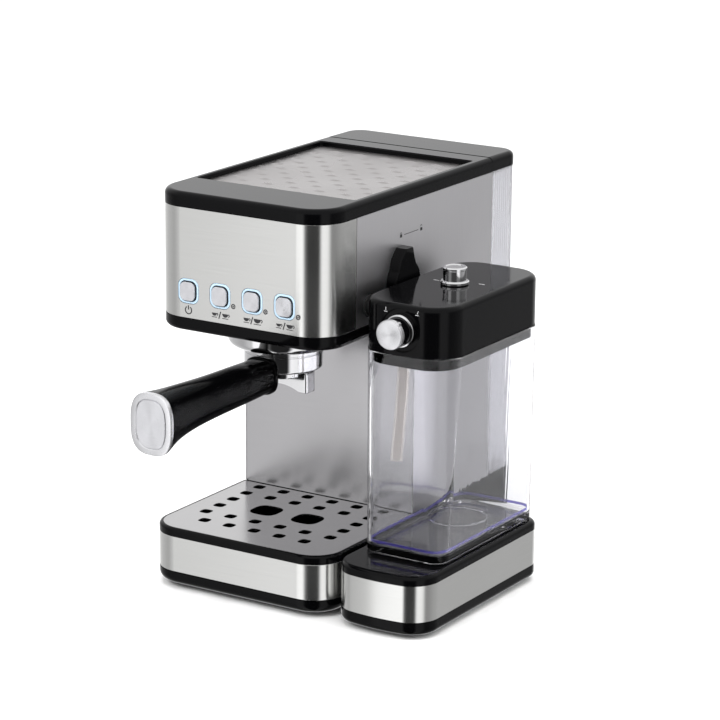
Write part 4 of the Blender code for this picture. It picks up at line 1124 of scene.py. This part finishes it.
def make_froth_knob():
    low, high = span("froth_knob")
    at = axis_place("froth_knob_turn")
    centre = (at.x, 0, at.z)
    bezel_low, bezel_high = span("froth_bezel")
    radius = (bezel_high.x - bezel_low.x) / 2
    profile = [(9.6, bezel_low.y + 0.5), (radius - 1.4, bezel_low.y), (radius - 0.5, bezel_low.y + 0.4)]
    profile += [(radius, bezel_low.y + 1.3), (radius, bezel_high.y), (9.6, bezel_high.y)]
    ring = turned("froth_ring", centre, profile, "Y", loop=True)
    place(ring, "milk_lid", CHROME, "chrome", "froth_bezel")

    face_low, face_high = span("froth_knob_face")
    disc = (face_high.x - face_low.x) / 2
    body_r = (high.x - low.x) / 2
    grip = [(body_r - 0.6, low.y), (body_r, low.y + 0.6), (body_r, bezel_low.y - 0.4)]
    grip += [(9.3, bezel_low.y - 0.3), (9.3, bezel_high.y + 0.1), (3.9, bezel_high.y + 0.1), (3.9, high.y)]
    place(turned("froth_grip", centre, grip, "Y"), "froth_knob", GLOSS, "gloss_black", "froth_knob")
    cap = [(disc, face_high.y), (disc, face_low.y + 1.2), (disc - 0.4, face_low.y + 0.4)]
    cap += [(disc - 1.2, face_low.y), (disc * 0.5, face_low.y + 0.25), (0.3, face_low.y + 0.5)]
    silver = spun("froth_spun", (0.78, 0.78, 0.8), 0.28, (at.x, face_low.y, at.z))
    place(turned("froth_cap", centre, cap, "Y"), "froth_knob", silver, "silver_cap", "froth_knob_face")
    tab_angle = math.radians(52)
    tab_at = (at.x + math.cos(tab_angle) * (disc - 0.6), at.z + math.sin(tab_angle) * (disc - 0.6))
    profile = [(1.6, face_low.y + 0.3), (1.9, face_low.y + 0.6), (1.9, face_high.y)]
    tab = turned("froth_tab", (tab_at[0], 0, tab_at[1]), profile, "Y", steps=32)
    place(tab, "froth_knob", silver, "silver_cap")


def make_lid_marks():
    """Pale printed marks: less and more froth by the knob, two dashes on the lid's top."""
    froth = axis_place("froth_knob_turn")
    top = axis_place("top_knob_turn")
    low, high = span("milk_lid")
    y = low.y - 0.02
    for name, dx, dz, lean in (("less", -12.6, 13.4, 0.0), ("more", 13.6, 13.8, 0.5)):
        x, z = froth.x + dx, froth.z + dz
        stem = strip([(x, z), (x + lean * 2.2, z + 2.4)], 0.4)
        face_front(f"mark_froth_{name}_stem", stem, y, "milk_lid", PALE_INK, "silver_cap")
        foot = strip([(x - 1.4, z - 0.8), (x + 1.4, z - 0.8)], 0.4)
        face_front(f"mark_froth_{name}_foot", foot, y, "milk_lid", PALE_INK, "silver_cap")
    for k, (dx, dy) in enumerate(((-17.0, 2.0), (17.5, 9.5))):
        flat = strip([(top.x + dx - 2.4, top.y + dy), (top.x + dx + 2.4, top.y + dy)], 0.6)
        rings = [[(u, v, high.z + depth) for u, v in flat] for depth in (0.0, MARK_DEPTH)]
        place(skin(f"mark_lid_dash_{k}", rings), "milk_lid", PALE_INK, "silver_cap")


def make_top_knob():
    low, high = span("top_knob")
    at = axis_place("top_knob_turn")
    flange = (high.x - low.x) / 2
    body = 8.8
    base = at.z + 0.3
    profile = [(3.7, low.z), (3.7, base), (flange - 0.4, base), (flange, base + 0.5), (flange, base + 2.0)]
    profile += [(flange - 0.8, base + 2.8), (body, base + 3.0), (body, high.z - 2.6)]
    profile += [(body + 0.3, high.z - 2.2), (body + 0.3, high.z - 0.9), (body - 0.6, high.z)]
    profile += [(body - 2.0, high.z), (body - 2.6, high.z - 0.5)]
    place(turned("top_knob_turned", (at.x, at.y, 0), profile), "top_knob", CHROME, "chrome", "top_knob")


def make_suction_tube():
    """Translucent tube that hangs from the lid and ends square, well above the floor."""
    low, high = span("suction_tube")
    outer, inner = (high.y - low.y) / 2, 3.1
    y = (low.y + high.y) / 2
    top_x, end_x = high.x - outer, low.x + outer
    drop = high.z - low.z
    stations = ((0.0, 0.0), (0.22, 0.0), (0.42, 0.03), (0.65, 0.35), (1.0, 1.0))
    knots = [(top_x + (end_x - top_x) * lean, y, high.z - drop * down) for down, lean in stations]
    route = [Vector(row) for row in smooth_rows(knots, 8)]

    def ring(radius, at):
        count = 32
        turns = [2 * math.pi * i / count for i in range(count)]
        return [(at.x + radius * math.cos(t), at.y + radius * math.sin(t), at.z) for t in turns]

    rings = [ring(outer, p) for p in route] + [ring(inner, p) for p in reversed(route)]
    tube = skin("milk_tube", rings, loop=True)
    place(tube, "milk_lid", TUBE, "silicone_tube", "suction_tube")


# ---- CAD nodes that stay ----
def finish_kept_nodes():
    kept = (
        (SIDE_STEEL, ("side_panel_left", "side_panel_right")),
        (COLUMN_STEEL, ("column_front_panel",)),
        (MATT, ("inner_frame", "head_liner", "milk_base_cover", "milk_nozzle", "tank_valve")),
        (BOARD, ("control_board", "main_board")),
        (RUBBER, ("milk_port", "group_gasket", "tank_seat")),
        (INNER_STEEL, ("shower_screen", "screen_screw", "filter_basket")),
        (CAST, ("boiler",)),
        (PUMP, ("pump", "solenoid_valve")),
        (HOSE, ("inlet_hose", "pressure_hose", "steam_hose")),
    )
    for finish, nodes in kept:
        for node in nodes:
            piece = frame["nodes"][node]
            piece.data.materials.clear()
            piece.data.materials.append(finish)
            if finish is not HOSE:
                soften(piece, 0.15)


# ---- studio ----
AZIMUTH, ELEVATION, ROLL = 32.0605, 15.3769, 0.4963
CAMERA_PLACE = (1.16424, -1.84591, 0.77269)
LENS = 150.635


def make_camera():
    a, e, roll = (math.radians(v) for v in (AZIMUTH, ELEVATION, ROLL))
    back = Vector((math.sin(a) * math.cos(e), -math.cos(a) * math.cos(e), math.sin(e)))
    level = Vector((math.cos(a), math.sin(a), 0))
    steep = back.cross(level)
    right = level * math.cos(roll) + steep * math.sin(roll)
    up = steep * math.cos(roll) - level * math.sin(roll)
    data = bpy.data.cameras.new("camera")
    data.lens = LENS
    data.sensor_width = 36.0
    data.clip_start, data.clip_end = 0.05, 50
    camera = bpy.data.objects.new("camera", data)
    axes = Matrix((right, up, back)).transposed().to_4x4()
    camera.matrix_world = Matrix.Translation(CAMERA_PLACE) @ axes
    bpy.context.scene.collection.objects.link(camera)
    bpy.context.scene.camera = camera


# brightness of the room at directions in plan, in degrees from +X towards +Y
ROOM_ZONES = (
    (-180, 0.6),
    (-150, 0.5),
    (-127, 0.72),
    (-120, 1.3),
    (-100, 1.4),
    (-88, 0.12),
    (-80, 0.02),
    (-46, 0.02),
    (-34, 1.2),
    (-18, 1.15),
    (-2, 0.3),
    (40, 0.45),
    (64, 0.5),
    (90, 1.0),
    (135, 1.15),
    (165, 0.7),
    (180, 0.6),
)


def make_world():
    """A white room with soft dark and bright zones round the horizon, and white behind."""
    world = bpy.data.worlds.new("studio")
    bpy.context.scene.world = world
    world.use_nodes = True
    where = add_node(world, "TexCoord")
    angle = add_node(world, "TexGradient", gradient_type="RADIAL")
    ramp = add_node(world, "ValToRGB")
    link(world, where.outputs["Generated"], angle.inputs["Vector"])
    link(world, angle.outputs["Fac"], ramp.inputs["Fac"])
    ramp.color_ramp.interpolation = "EASE"
    stops = ramp.color_ramp.elements
    while len(stops) < len(ROOM_ZONES):
        stops.new(0.5)
    for stop, (degrees, level) in zip(stops, ROOM_ZONES):
        stop.position = (degrees + 180) / 360
        stop.color = (level, level, level * 1.005, 1)
    split = add_node(world, "SeparateXYZ")
    link(world, where.outputs["Generated"], split.inputs["Vector"])
    rise = {"From Min": 0.05, "From Max": 0.6}
    above = add_node(world, "MapRange", rise, interpolation_type="SMOOTHSTEP")
    link(world, split.outputs["Z"], above.inputs["Value"])
    sky = add_node(world, "Mix", data_type="RGBA")
    sky.inputs["B"].default_value = (1.05, 1.05, 1.05, 1)
    link(world, above.outputs["Result"], sky.inputs["Factor"])
    link(world, ramp.outputs["Color"], sky.inputs["A"])
    seen = add_node(world, "LightPath")
    backdrop = add_node(world, "Mix", data_type="RGBA")
    backdrop.inputs["B"].default_value = (1, 1, 0.995, 1)
    link(world, seen.outputs["Is Camera Ray"], backdrop.inputs["Factor"])
    link(world, sky.outputs["Result"], backdrop.inputs["A"])
    link(world, backdrop.outputs["Result"], world.node_tree.nodes["Background"].inputs["Color"])


def make_light(name, at, target, size, power):
    data = bpy.data.lights.new(name, "AREA")
    data.shape = "RECTANGLE"
    data.size, data.size_y = size
    data.energy = power
    light = bpy.data.objects.new(name, data)
    light.location = at
    aim = Vector(target) - Vector(at)
    light.rotation_euler = aim.to_track_quat("-Z", "Y").to_euler()
    light.visible_glossy = False
    bpy.context.scene.collection.objects.link(light)


def make_studio():
    mesh = bpy.data.meshes.new("floor")
    reach = 6.0
    corners = [(-reach, -reach, 0), (reach, -reach, 0), (reach, reach, 0), (-reach, reach, 0)]
    mesh.from_pydata(corners, [], [(0, 1, 2, 3)])
    floor = bpy.data.objects.new("floor", mesh)
    bpy.context.scene.collection.objects.link(floor)
    mesh.materials.append(moulded("floor_paper", (0.93, 0.93, 0.925), 0.9, 300.0, 0.05))
    floor.visible_glossy = False
    make_world()
    make_light("key", (-0.9, -1.6, 1.7), (0, 0, 0.15), (1.4, 1.0), 26)
    make_light("overhead", (0.1, 0.1, 2.2), (0, 0, 0), (2.0, 2.0), 40)
    make_light("right_fill", (1.8, 0.2, 1.2), (0, 0, 0.15), (1.0, 1.4), 14)
    view = bpy.context.scene.view_settings
    view.view_transform = "Standard"
    view.look = "None"


make_camera()
make_top_frame()
make_cup_plate()
make_head_wrap()
make_head_floor()
make_buttons()
make_panel_marks()
make_side_marks()
make_lever()
make_group()
make_portafilter()
make_base()
make_feet()
make_drip_tray()
make_drip_grid()
make_water_tank()
make_tank_lid()
make_milk_base()
make_jug()
make_milk_lid()
make_froth_knob()
make_lid_marks()
make_top_knob()
make_suction_tube()
finish_kept_nodes()
make_studio()
